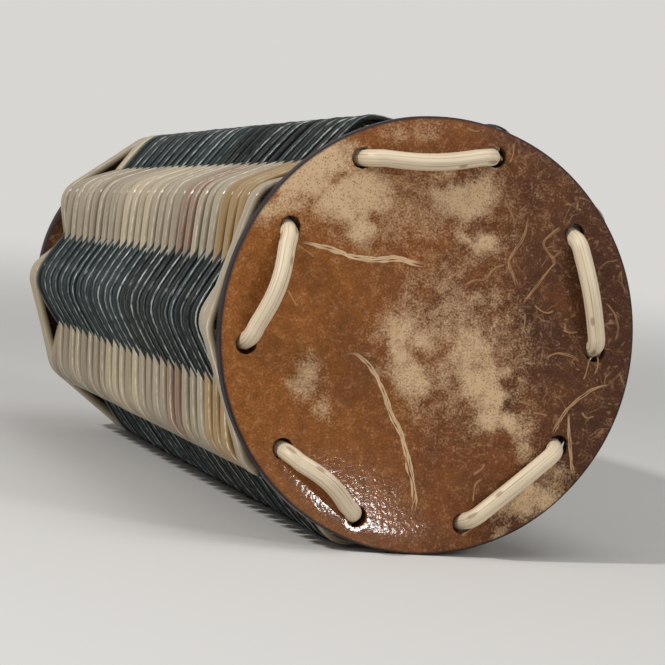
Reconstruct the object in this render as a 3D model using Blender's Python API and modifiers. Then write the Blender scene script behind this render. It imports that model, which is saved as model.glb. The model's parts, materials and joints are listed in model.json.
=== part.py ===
"""Woven rattan shaker with a coconut-shell disc at each end and loose seeds inside.

Five canes stand as ten stakes between the discs, and two weavers chase each other
round the stakes. The shaker is drawn along its own Z axis, from the near disc to the
far one, with its Y axis pointing down, and is then laid on its side on the ground.
Angles round the axis start at the top and grow towards the left of the near disc.
"""
import math

import bmesh
import bpy
from mathutils import Vector

MM = 0.001

# Shell discs
BODY_LENGTH = 170.0 * MM
NEAR_DISC_RADIUS = 40.0 * MM
FAR_DISC_RADIUS = 31.6 * MM
DISC_THICKNESS = 3.0 * MM
DISC_EDGE = 0.7 * MM
DISC_PAD_RADIUS = 16.0 * MM
DISC_PAD_STEP = 0.15 * MM
DISC_SIDES = 48

# Drilled holes, one for each stake, set in from the rim, and how far each near hole wandered
NEAR_HOLE_INSET = 5.9 * MM
FAR_HOLE_INSET = 4.9 * MM
HOLE_CLEARANCE = 0.7 * MM
HOLE_SIDES = 14
NEAR_HOLE_DRIFT_DEGREES = (8.1, 3.8, 5.1, 4.2, -1.4, -2.4, 0.5, -1.0, 1.1, 1.8)
NEAR_HOLE_DRIFT_RADIUS_MM = (0.9, -0.6, 0.8, 0.2, 1.2, 0.9, -1.6, -1.7, -0.7, 0.7)

# Canes, each a stitch over the near disc and two stakes in the wall; some stitches stand
# further off the face than others, or bow towards its middle
CANE_RADIUS = 1.6 * MM
STAKE_COUNT = 10
NEAR_STAKE_INSET = 1.7 * MM
FAR_STAKE_INSET = 1.2 * MM
SHOULDER = 7.0 * MM
SHOULDER_SINK = 1.2 * MM
SHOULDER_BENDS = 3
STITCH_BEND = 2.6 * MM
STITCH_BEND_STEPS = 4
STITCH_ARCH_STEPS = 4
STITCH_END_AIR = 0.5 * MM
NEAR_STITCH_AIR_MM = (1.2, 3.2, 2.6, 0.8, 1.6)
NEAR_STITCH_BOW_MM = (0.8, 0.3, 0.6, 0.0, 0.0)
FAR_STITCH_AIR = 1.2 * MM
FAR_STITCH_BOW = 0.0 * MM
TUCKED_TAIL = 12.0 * MM
BUTT_GAP = 0.4 * MM

# Weavers, flat reed wound over one stake and under the next
ROW_WIDTH = 2.6 * MM
ROW_THICKNESS = 1.6 * MM
ROW_GAP = 0.4 * MM
LOBE_RUN = 4.0 * MM
TUCK_GAP = 1.2 * MM
NEAR_BORDER_PASSES = 8
NEAR_WRAP_PASSES = 3
FAR_BORDER_PASSES = 20
FIT_GAP = 0.3 * MM

# Seeds, two to a lane, lying on the lower wall in two groups along the shaker
SEED_LENGTH = 6.8 * MM
SEED_WIDTH = 5.2 * MM
SEED_GAP = 0.3 * MM
SEED_LANE_DEGREES = (-35.0, -21.0, -7.0, 7.0, 21.0, 35.0)
SEED_YAW_DEGREES = (12.0, -8.0, 4.0, -14.0, 9.0, -5.0)
SEED_GROUP_SHARES = (0.3, 0.7)
SEED_STAGGER = 5.0 * MM
SEED_SIDES = 10
SEED_RINGS = 6

NEAR_HOLE_CIRCLE = NEAR_DISC_RADIUS - NEAR_HOLE_INSET
FAR_HOLE_CIRCLE = FAR_DISC_RADIUS - FAR_HOLE_INSET
STAKE_CIRCLE_NEAR = NEAR_DISC_RADIUS - NEAR_STAKE_INSET
STAKE_CIRCLE_FAR = FAR_DISC_RADIUS - FAR_STAKE_INSET
STAKE_STEP = math.tau / STAKE_COUNT
FIRST_STAKE = STAKE_STEP / 2
LOBE_SLOPE = STAKE_STEP / 2
FIRST_ROW = DISC_THICKNESS + FIT_GAP + ROW_WIDTH / 2
ROW_SPAN = BODY_LENGTH - 2 * FIRST_ROW
PASSES = 2 * math.floor(STAKE_COUNT / 2 * ROW_SPAN / (2 * (ROW_WIDTH + ROW_GAP)))
PITCH = ROW_SPAN / PASSES * STAKE_COUNT

CANE_NAMES = ("cane_top", "cane_left", "cane_lower_left", "cane_lower_right", "cane_right")


def clear_scene():
    for item in list(bpy.data.objects):
        bpy.data.objects.remove(item, do_unlink=True)


def new_collection(name):
    collection = bpy.data.collections.new(name)
    bpy.context.scene.collection.children.link(collection)
    return collection


def new_material(name, colour, roughness):
    material = bpy.data.materials.new(name)
    material.use_nodes = True
    shader = material.node_tree.nodes["Principled BSDF"]
    shader.inputs["Base Color"].default_value = (*colour, 1.0)
    shader.inputs["Roughness"].default_value = roughness
    shader.inputs["Metallic"].default_value = 0.0
    return material


def add_part(name, data, collection, pose, material):
    """A named piece of the shaker, carried by the pose empty."""
    part = bpy.data.objects.new(name, data)
    data.materials.clear()
    data.materials.append(material)
    collection.objects.link(part)
    part.parent = pose
    return part


def add_guide(name, data, collection, pose):
    guide = bpy.data.objects.new(name, data)
    guide.hide_render = True
    guide.display_type = 'WIRE'
    collection.objects.link(guide)
    guide.parent = pose
    return guide


def round_axis(angle, radius, z):
    return Vector((-radius * math.sin(angle), -radius * math.cos(angle), z))


def stake_angle(stake):
    return FIRST_STAKE + STAKE_STEP * (stake % STAKE_COUNT)


def stake_circle(z):
    """Radius of the ring of stakes, which narrows towards the far disc."""
    return STAKE_CIRCLE_NEAR + (STAKE_CIRCLE_FAR - STAKE_CIRCLE_NEAR) * z / BODY_LENGTH


def near_hole(stake):
    place = stake % STAKE_COUNT
    drift = NEAR_HOLE_DRIFT_DEGREES[place % len(NEAR_HOLE_DRIFT_DEGREES)]
    outward = NEAR_HOLE_DRIFT_RADIUS_MM[place % len(NEAR_HOLE_DRIFT_RADIUS_MM)] * MM
    return stake_angle(stake) + math.radians(drift), NEAR_HOLE_CIRCLE + outward


def far_hole(stake):
    return stake_angle(stake), FAR_HOLE_CIRCLE


def shoulder_share(height, stake, hole, z):
    """Share of the way from a hole to the stake's line, which two equal arcs make."""
    hole_angle, hole_radius = hole
    shift = math.hypot(stake_circle(z) - hole_radius, (stake_angle(stake) - hole_angle) * hole_radius)
    length = max(SHOULDER, shift)
    bend = (length ** 2 + shift ** 2) / (4 * shift)
    height = min(max(height, 0.0), length)
    lower = min(height, length - height)
    share = (bend - math.sqrt(bend ** 2 - lower ** 2)) / shift
    return share if height < length / 2 else 1 - share


def stake_at(stake, z):
    """Angle and radius of a stake's centre, which shoulders in to its hole at each disc."""
    near_angle, near_radius = near_hole(stake)
    far_angle, far_radius = far_hole(stake)
    start = DISC_THICKNESS - SHOULDER_SINK
    near_share = shoulder_share(z - start, stake, (near_angle, near_radius), z)
    far_share = shoulder_share(BODY_LENGTH - start - z, stake, (far_angle, far_radius), z)
    angle = near_angle + (stake_angle(stake) - near_angle) * near_share
    angle = far_angle + (angle - far_angle) * far_share
    radius = near_radius + (stake_circle(z) - near_radius) * near_share
    radius = far_radius + (radius - far_radius) * far_share
    return angle, radius


def stake_point(stake, z):
    return round_axis(*stake_at(stake, z), z)


def row_offsets(stake, z):
    """How far outside and inside a stake's centre a row of reed runs clear of the cane."""
    angle, radius = stake_at(stake, z)
    samples = 24
    outside = inside = 0.0
    for sample in range(samples + 1):
        height = (ROW_WIDTH / 2 + CANE_RADIUS) * (2 * sample / samples - 1)
        beyond = max(abs(height) - ROW_WIDTH / 2, 0.0)
        girth = math.sqrt(max(CANE_RADIUS ** 2 - beyond ** 2, 0.0))
        here_angle, here_radius = stake_at(stake, z + height)
        rise = here_radius - radius
        shift = abs(here_angle - angle) * radius
        outside = max(outside, rise * math.cos(LOBE_SLOPE) + shift * math.sin(LOBE_SLOPE) + girth)
        inside = max(inside, girth - rise + shift * math.sin(LOBE_SLOPE))
    spare = FIT_GAP + ROW_THICKNESS / 2
    return outside + spare, inside + spare


def pass_points(stake, z, is_outside):
    """One pass of a weaver: a lobe of two flats over a stake, or a single bend under it."""
    angle, radius = stake_at(stake, z)
    outside, inside = row_offsets(stake, z)
    centre = round_axis(angle, radius, z)
    outward = round_axis(angle, 1.0, 0.0)
    along = Vector((math.cos(angle), -math.sin(angle), PITCH / (math.tau * radius)))
    if not is_outside:
        return [centre - outward * inside]
    crown = outside / math.cos(LOBE_SLOPE)
    side = crown - LOBE_RUN * math.tan(LOBE_SLOPE)
    return [
        centre + outward * side - along * LOBE_RUN,
        centre + outward * crown,
        centre + outward * side + along * LOBE_RUN,
    ]


def weaver_points(start_stake, outside_stakes, first_pass, last_pass, wrap_passes):
    """A weaver from one tucked end to the other, both behind a stake. Its first passes may wrap the stakes."""
    points = []
    for number in range(first_pass, last_pass + 1):
        stake = (start_stake - number) % STAKE_COUNT
        z = FIRST_ROW + PITCH * number / STAKE_COUNT
        is_wrapped = first_pass < number <= wrap_passes
        points += pass_points(stake, z, is_wrapped or stake % 2 == outside_stakes)
    for end, neighbour in ((0, 1), (-1, -2)):
        points[end] = points[end] + (points[neighbour] - points[end]).normalized() * TUCK_GAP / 2
    return points


def least_row_gap(points):
    """Least gap between a winding's own loops, measured on its points."""
    half_loop = STAKE_COUNT
    least = math.inf
    for first, point in enumerate(points):
        for other in points[first + half_loop:first + 4 * half_loop]:
            least = min(least, (point - other).length)
    return least - ROW_WIDTH


def poly_curve(name, points):
    curve = bpy.data.curves.new(name, 'CURVE')
    curve.dimensions = '3D'
    curve.fill_mode = 'FULL'
    curve.use_fill_caps = True
    spline = curve.splines.new('POLY')
    spline.points.add(len(points) - 1)
    for spot, point in zip(spline.points, points):
        spot.co = (*point, 1.0)
    return curve


def reed_section(collection, pose):
    """Flat section of the reed: thickness across, width along the shaker."""
    curve = bpy.data.curves.new("reed_section", 'CURVE')
    spline = curve.splines.new('POLY')
    corners = ((-1, -1), (-1, 1), (1, 1), (1, -1))
    spline.points.add(len(corners) - 1)
    for spot, (across, up) in zip(spline.points, corners):
        spot.co = (across * ROW_THICKNESS / 2, up * ROW_WIDTH / 2, 0.0, 1.0)
    spline.use_cyclic_u = True
    return add_guide("reed_section", curve, collection, pose)


def make_weaver(name, points, section, collection, pose, material):
    curve = poly_curve(name, points)
    curve.twist_mode = 'Z_UP'
    curve.bevel_mode = 'OBJECT'
    curve.bevel_object = section
    print(f"{name}: least gap between its loops {least_row_gap(points) / MM:.2f} mm")
    return add_part(name, curve, collection, pose, material)


def stitch_points(first_hole, second_hole, face, outward, air, bow):
    """A stitch from hole to hole, arched off the face, as z counts along the shaker."""
    start = round_axis(*first_hole, face)
    finish = round_axis(*second_hole, face)
    along = (finish - start).normalized()
    inward = -(start + finish).xy.normalized().to_3d()
    lift = Vector((0.0, 0.0, outward))
    shoulder = CANE_RADIUS + STITCH_END_AIR
    bend = []
    for step in range(STITCH_BEND_STEPS + 1):
        turn = math.pi / 2 * step / STITCH_BEND_STEPS
        bend.append((STITCH_BEND * (1 - math.cos(turn)), shoulder + STITCH_BEND * (math.sin(turn) - 1)))
    rising = [start + along * run + lift * height for run, height in bend]
    falling = [finish - along * run + lift * height for run, height in reversed(bend)]
    arch = []
    for step in range(1, STITCH_ARCH_STEPS):
        share = step / STITCH_ARCH_STEPS
        swell = math.sin(math.pi * share)
        straight = rising[-1].lerp(falling[0], share)
        arch.append(straight + (lift * (air - STITCH_END_AIR) + inward * bow) * swell)
    return rising + arch + falling


def shoulder_heights():
    """Heights where a stake bends on its way out of its near hole."""
    turns = [math.sin(math.pi / 2 * step / SHOULDER_BENDS) / 2 for step in range(SHOULDER_BENDS + 1)]
    shares = turns + [1 - share for share in reversed(turns[:-1])]
    return [DISC_THICKNESS - SHOULDER_SINK + SHOULDER * share for share in shares]


def cane_points(number):
    """A cane from its trimmed end, over the near disc, along the wall and over the far disc."""
    odd_stake = 2 * number - 1
    even_stake = 2 * number
    next_stake = even_stake + 1
    near_heights = shoulder_heights()
    far_heights = [BODY_LENGTH - height for height in reversed(near_heights)]
    tail_end = far_heights[0] - TUCKED_TAIL
    points = [stake_point(odd_stake, tail_end - BUTT_GAP)]
    points += [stake_point(odd_stake, height) for height in reversed(near_heights)]
    air = NEAR_STITCH_AIR_MM[number] * MM
    bow = NEAR_STITCH_BOW_MM[number] * MM
    points += stitch_points(near_hole(odd_stake), near_hole(even_stake), 0.0, -1.0, air, bow)
    points += [stake_point(even_stake, height) for height in near_heights + far_heights]
    ends = (far_hole(even_stake), far_hole(next_stake))
    points += stitch_points(*ends, BODY_LENGTH, 1.0, FAR_STITCH_AIR, FAR_STITCH_BOW)
    points += [stake_point(next_stake, height) for height in reversed(far_heights)]
    points.append(stake_point(next_stake, tail_end))
    return points


def make_cane(number, collection, pose, material):
    name = CANE_NAMES[number]
    curve = poly_curve(name, cane_points(number))
    curve.bevel_depth = CANE_RADIUS
    curve.bevel_resolution = 1
    return add_part(name, curve, collection, pose, material)


def hole_cutter(name, holes, collection, pose, face):
    """Drills through a disc, one for each stake."""
    mesh = bpy.data.meshes.new(name)
    drill = bmesh.new()
    for hole in holes:
        made = bmesh.ops.create_cone(
            drill, cap_ends=True, segments=HOLE_SIDES, depth=2 * DISC_THICKNESS,
            radius1=CANE_RADIUS + HOLE_CLEARANCE, radius2=CANE_RADIUS + HOLE_CLEARANCE)
        bmesh.ops.translate(drill, verts=made["verts"], vec=round_axis(*hole, DISC_THICKNESS / 2))
    drill.to_mesh(mesh)
    drill.free()
    cutter = add_guide(name, mesh, collection, pose)
    cutter.location.z = face
    return cutter


def make_disc(name, radius, face, holes, collection, guides, pose, material):
    """A shell disc turned from its half section, with a sanded pad, softened edges and drilled holes."""
    rim = radius - DISC_EDGE
    pad_foot = DISC_PAD_RADIUS + DISC_PAD_STEP
    low_face = DISC_PAD_STEP
    high_face = DISC_THICKNESS - DISC_PAD_STEP
    low_edge = DISC_EDGE
    high_edge = DISC_THICKNESS - DISC_EDGE
    section = (
        (0.0, DISC_THICKNESS), (DISC_PAD_RADIUS, DISC_THICKNESS), (pad_foot, high_face), (rim, high_face),
        (radius, high_edge), (radius, low_edge),
        (rim, low_face), (pad_foot, low_face), (DISC_PAD_RADIUS, 0.0), (0.0, 0.0),
    )
    mesh = bpy.data.meshes.new(name)
    edges = [(corner, corner + 1) for corner in range(len(section) - 1)]
    mesh.from_pydata([(across, 0.0, up) for across, up in section], edges, [])
    disc = add_part(name, mesh, collection, pose, material)
    disc.location.z = face
    turn = disc.modifiers.new("turn", 'SCREW')
    turn.axis = 'Z'
    turn.angle = math.tau
    turn.steps = DISC_SIDES
    turn.render_steps = DISC_SIDES
    turn.use_merge_vertices = True
    turn.merge_threshold = 0.01 * MM
    cut = disc.modifiers.new("holes", 'BOOLEAN')
    cut.operation = 'DIFFERENCE'
    cut.object = hole_cutter(name + "_holes", holes, guides, pose, face)
    return disc


def seed_mesh():
    mesh = bpy.data.meshes.new("seed")
    form = bmesh.new()
    bmesh.ops.create_uvsphere(form, u_segments=SEED_SIDES, v_segments=SEED_RINGS, radius=0.5)
    bmesh.ops.scale(form, verts=form.verts, vec=(SEED_WIDTH, SEED_WIDTH, SEED_LENGTH))
    form.to_mesh(mesh)
    form.free()
    mesh.shade_smooth()
    return mesh


def run_radius(outward, start, finish):
    """Distance from the axis, in one direction, of a straight run of reed."""
    run = (finish - start).xy
    return start.xy.cross(run) / outward.xy.cross(run)


def wall_inside(angle, z):
    """Radius of the wall's inner side, where two runs of reed cross between two stakes."""
    outward = round_axis(angle, 1.0, 0.0)
    stake = math.floor((angle - FIRST_STAKE) / STAKE_STEP)
    leaving = run_radius(outward, pass_points(stake, z, True)[0], pass_points(stake + 1, z, False)[0])
    arriving = run_radius(outward, pass_points(stake, z, False)[0], pass_points(stake + 1, z, True)[-1])
    return min(leaving, arriving) - ROW_THICKNESS / 2


def seed_place(angle, z):
    return round_axis(angle, wall_inside(angle, z) - SEED_WIDTH / 2 - SEED_GAP, z)


def make_seeds(collection, pose, material):
    """Seeds at rest on the wall, staggered from lane to lane."""
    mesh = seed_mesh()
    number = 0
    for share in SEED_GROUP_SHARES:
        for lane, lane_degrees in enumerate(SEED_LANE_DEGREES):
            number += 1
            stagger = SEED_STAGGER * (lane % 3 - 1)
            seed = add_part(f"seed_{number:02d}", mesh, collection, pose, material)
            seed.location = seed_place(math.pi + math.radians(lane_degrees), BODY_LENGTH * share + stagger)
            seed.rotation_euler.y = math.radians(SEED_YAW_DEGREES[lane])


def lay_down(pose, collection):
    """Lays the shaker on its two lowest rows of lobes, centred over the ground's origin."""
    narrowing = (STAKE_CIRCLE_NEAR - STAKE_CIRCLE_FAR) / BODY_LENGTH
    tilt = math.atan(narrowing * math.cos(LOBE_SLOPE))
    pose.rotation_euler.x = -math.pi / 2 - tilt
    bpy.context.view_layer.update()
    depsgraph = bpy.context.evaluated_depsgraph_get()
    corners = []
    for part in collection.objects:
        shown = part.evaluated_get(depsgraph)
        mesh = shown.to_mesh()
        corners += [shown.matrix_world @ vertex.co for vertex in mesh.vertices]
        shown.to_mesh_clear()
    lows = [min(corner[axis] for corner in corners) for axis in range(3)]
    highs = [max(corner[axis] for corner in corners) for axis in range(3)]
    pose.location = (-(lows[0] + highs[0]) / 2, -(lows[1] + highs[1]) / 2, -lows[2])
    bpy.context.view_layer.update()


def main():
    clear_scene()
    parts = new_collection("coconut_shaker")
    guides = new_collection("coconut_shaker_guides")
    pose = bpy.data.objects.new("shaker_pose", None)
    guides.objects.link(pose)

    near_shell = new_material("lacquered_shell_near", (0.30, 0.12, 0.045), 0.28)
    far_shell = new_material("lacquered_shell_far", (0.26, 0.10, 0.04), 0.30)
    cane = new_material("peeled_cane", (0.72, 0.58, 0.40), 0.55)
    dyed = new_material("dyed_reed", (0.025, 0.045, 0.045), 0.32)
    natural = new_material("natural_reed", (0.52, 0.40, 0.29), 0.45)
    seed = new_material("dry_seed", (0.20, 0.11, 0.06), 0.40)

    stakes = range(STAKE_COUNT)
    far_face = BODY_LENGTH - DISC_THICKNESS
    near_holes = [near_hole(stake) for stake in stakes]
    far_holes = [far_hole(stake) for stake in stakes]
    make_disc("near_shell_disc", NEAR_DISC_RADIUS, 0.0, near_holes, parts, guides, pose, near_shell)
    make_disc("far_shell_disc", FAR_DISC_RADIUS, far_face, far_holes, parts, guides, pose, far_shell)

    for number in range(len(CANE_NAMES)):
        make_cane(number, parts, pose, cane)

    section = reed_section(guides, pose)
    dyed_start = NEAR_BORDER_PASSES
    dyed_end = PASSES - FAR_BORDER_PASSES
    dyed_side = 0
    natural_side = 1
    dyed_tuck = 9
    natural_tuck = dyed_tuck + STAKE_COUNT // 2
    windings = (
        ("near_border_weaver", dyed_tuck, dyed_side, 0, dyed_start, 0, natural),
        ("dyed_weaver", dyed_tuck, dyed_side, dyed_start, dyed_end, 0, dyed),
        ("far_border_weaver", dyed_tuck, dyed_side, dyed_end, PASSES, 0, natural),
        ("natural_weaver", natural_tuck, natural_side, 0, PASSES, NEAR_WRAP_PASSES, natural),
    )
    for name, tuck, side, first_pass, final_pass, wrap_passes, reed in windings:
        points = weaver_points(tuck, side, first_pass, final_pass, wrap_passes)
        make_weaver(name, points, section, parts, pose, reed)

    make_seeds(parts, pose, seed)
    lay_down(pose, parts)


main()
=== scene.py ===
"""Looks of a hand shaker: lacquered coconut-shell discs, stitching canes and a woven reed wall.

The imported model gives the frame. Every piece is drawn in the shaker's own axes, in which z runs
from the near face to the far one, y points down and angles start at the top and grow to the left,
and is then laid where the frame's two end faces are. Sizes are in metres unless a name says mm.
"""

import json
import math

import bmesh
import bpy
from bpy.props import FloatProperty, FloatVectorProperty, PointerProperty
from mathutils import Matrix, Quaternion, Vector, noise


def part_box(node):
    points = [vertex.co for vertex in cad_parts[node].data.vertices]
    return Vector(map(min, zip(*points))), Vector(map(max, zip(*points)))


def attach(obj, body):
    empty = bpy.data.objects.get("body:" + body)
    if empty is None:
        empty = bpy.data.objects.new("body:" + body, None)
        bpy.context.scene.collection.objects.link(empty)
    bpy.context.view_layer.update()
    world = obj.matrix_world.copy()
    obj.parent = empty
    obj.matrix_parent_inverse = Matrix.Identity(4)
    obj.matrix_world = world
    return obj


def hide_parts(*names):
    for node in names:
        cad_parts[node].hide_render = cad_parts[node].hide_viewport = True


bl_info = {
    "name": "Coconut Shaker",
    "version": (1, 0, 0),
    "blender": (4, 5, 0),
    "location": "3D View > Sidebar > Shaker",
    "description": "Woven wall, shell discs, stitching canes and seeds of a hand shaker",
    "category": "Add Mesh",
}

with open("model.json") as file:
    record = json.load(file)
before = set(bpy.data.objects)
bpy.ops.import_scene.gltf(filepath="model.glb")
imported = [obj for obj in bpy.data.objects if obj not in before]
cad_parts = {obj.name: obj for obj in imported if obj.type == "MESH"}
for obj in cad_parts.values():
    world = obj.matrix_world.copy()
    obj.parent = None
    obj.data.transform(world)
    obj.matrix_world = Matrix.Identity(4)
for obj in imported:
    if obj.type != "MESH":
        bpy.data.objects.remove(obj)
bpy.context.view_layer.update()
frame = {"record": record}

MM = 0.001
BODY = "shaker_body"

# The frame's end faces give the shaker's axes, its length and where it lies
MOUNTS = {mount["name"]: mount for mount in frame["record"]["mounts"]}
NEAR_FACE = Vector(MOUNTS["near_face"]["pos_m"])
FAR_FACE = Vector(MOUNTS["far_face"]["pos_m"])
AXIS = (FAR_FACE - NEAR_FACE).normalized()
SIDE = Vector((1.0, 0.0, 0.0))
DOWN = AXIS.cross(SIDE)
LAID = Matrix((SIDE, DOWN, AXIS)).transposed().to_4x4()
LAID.translation = NEAR_FACE
BODY_LENGTH = (FAR_FACE - NEAR_FACE).length


def half_width(node):
    low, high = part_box(node)
    return (high.x - low.x) / 2


NEAR_DISC_RADIUS = half_width("near_shell_disc")
FAR_DISC_RADIUS = half_width("far_shell_disc")
DISC_THICKNESS = 3.0 * MM

# Holes and stakes, as in the frame
STAKE_COUNT = 10
STAKE_STEP = math.tau / STAKE_COUNT
FIRST_STAKE = STAKE_STEP / 2
NEAR_HOLE_INSET = 5.9 * MM
FAR_HOLE_INSET = 4.9 * MM
NEAR_HOLE_DRIFT_DEGREES = (8.1, 3.8, 5.1, 4.2, -1.4, -2.4, 0.5, -1.0, 1.1, 1.8)
NEAR_HOLE_DRIFT_RADIUS_MM = (0.9, -0.6, 0.8, 0.2, 1.2, 0.9, -1.6, -1.7, -0.7, 0.7)
NEAR_STAKE_INSET = 1.7 * MM
FAR_STAKE_INSET = 1.2 * MM
SHOULDER = 7.0 * MM
SHOULDER_SINK = 1.2 * MM
SHOULDER_BENDS = 5
STITCH_BEND = 2.6 * MM
STITCH_BEND_STEPS = 5
STITCH_ARCH_STEPS = 8
STITCH_END_AIR = 0.5 * MM
NEAR_STITCH_AIR_MM = (1.2, 3.2, 2.6, 0.8, 1.6)
NEAR_STITCH_BOW_MM = (0.8, 0.3, 0.6, 0.0, 0.0)
FAR_STITCH_AIR = 1.2 * MM
TUCKED_TAIL = 12.0 * MM
BUTT_GAP = 0.4 * MM

# The weave, as in the frame
ROW_WIDTH = 2.6 * MM
ROW_GAP = 0.4 * MM
FIT_GAP = 0.3 * MM
FIRST_ROW = DISC_THICKNESS + FIT_GAP + ROW_WIDTH / 2
ROW_SPAN = BODY_LENGTH - 2 * FIRST_ROW
PASSES = 2 * round(STAKE_COUNT / 2 * ROW_SPAN / (2 * (ROW_WIDTH + ROW_GAP)))
PITCH = ROW_SPAN / PASSES * STAKE_COUNT
NEAR_BORDER_PASSES = 8
FAR_BORDER_PASSES = 20
NATURAL_WRAPS = (2, PASSES - 4)
FAR_BORDER_WRAPS = (PASSES - 2,)
LOBE_SLOPE = STAKE_STEP / 2

CANES = ("cane_top", "cane_left", "cane_lower_left", "cane_lower_right", "cane_right")

# Lengths of reed that were spliced into the natural weaver: the turn where each starts, and its tone
NATURAL_SPLICES = (
    (0.0, "dyed_reed"), (0.06, "grey_reed"), (0.32, "dyed_reed"), (0.5, "grey_reed"), (0.8, "amber_reed"),
    (3.8, "grey_reed"), (6.8, "russet_reed"), (8.8, "grey_reed"), (13.0, "straw_reed"), (17.5, "grey_reed"),
)
BORDER_SPLICES = ((0.0, "grey_reed"),)
FAR_BORDER_SPLICES = ((0.0, "dyed_reed"), (25.8, "straw_reed"))
DYED_SPLICES = ((0.0, "dyed_reed"), (4.5, "worn_dyed_reed"), (5.6, "dyed_reed"), (12.0, "worn_dyed_reed"))

# Pale patches in the shells, where the sanding cut deepest: x and y of the middle, half length and
# half width in mm, turn in degrees and strength
NEAR_PATCHES = (
    (-25.0, -28.5, 9.0, 4.6, -38.0, 1.0), (-16.5, -24.5, 7.0, 4.0, -12.0, 1.0),
    (-15.3, -19.8, 2.6, 3.2, 0.0, 0.9), (-31.5, -21.0, 3.4, 2.4, -50.0, 0.7),
    (-7.0, -36.5, 5.0, 2.0, -10.0, 0.5), (4.6, -26.0, 6.0, 5.2, 20.0, 1.0),
    (8.4, -20.0, 4.8, 4.0, 30.0, 0.85), (12.5, -20.0, 3.5, 3.0, 0.0, 0.5),
    (-5.0, 1.5, 5.6, 5.0, 20.0, 0.85), (-2.8, 8.0, 3.6, 5.6, -15.0, 0.85),
    (8.0, 2.5, 4.8, 5.2, -20.0, 0.8), (12.0, 9.5, 6.5, 4.6, 50.0, 1.0),
    (14.5, 14.5, 5.0, 3.6, 10.0, 1.0), (19.0, 19.0, 3.2, 2.0, 30.0, 0.6),
    (22.5, 28.5, 6.4, 3.4, -42.0, 0.95), (-23.5, 9.5, 2.4, 3.2, 10.0, 0.65),
    (-19.0, 14.0, 2.0, 3.0, -20.0, 0.45), (13.5, -5.5, 1.8, 2.4, 0.0, 0.6),
    (17.2, 35.5, 1.4, 3.0, 10.0, 0.5), (5.4, 1.0, 11.0, 15.0, -25.0, 0.48),
    (-5.5, -24.0, 20.0, 7.0, -6.0, 0.4),
)
FAR_PATCHES = (
    (-9.0, -12.0, 7.5, 5.0, 35.0, 0.95), (4.5, -17.5, 4.5, 3.2, 0.0, 0.7),
    (13.0, 3.0, 4.2, 7.0, -20.0, 0.9), (-14.0, 9.5, 5.0, 3.0, 60.0, 0.7),
    (2.0, 14.5, 6.5, 3.2, 15.0, 0.8),
)

# Where lacquer pooled: x and y of the middle, half length and half width in mm, turn in degrees, and lean
LACQUER_LEAN = math.radians(5.0)
NEAR_POOL = (-15.0, 36.0, 16.0, 10.0, 24.0, LACQUER_LEAN)
FAR_POOL = (8.0, 18.0, 12.0, 8.0, 0.0, LACQUER_LEAN)

# Places across a shell where its brown is warmest and darkest, and the shares of the way between them
# where the warm brown ends and the dark one starts and is full
WARM_SIDE_MM = -30.0
DARK_SIDE_MM = 34.0
WARM_END = 0.5
DARK_START = 0.45
DARK_END = 0.95

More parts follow.
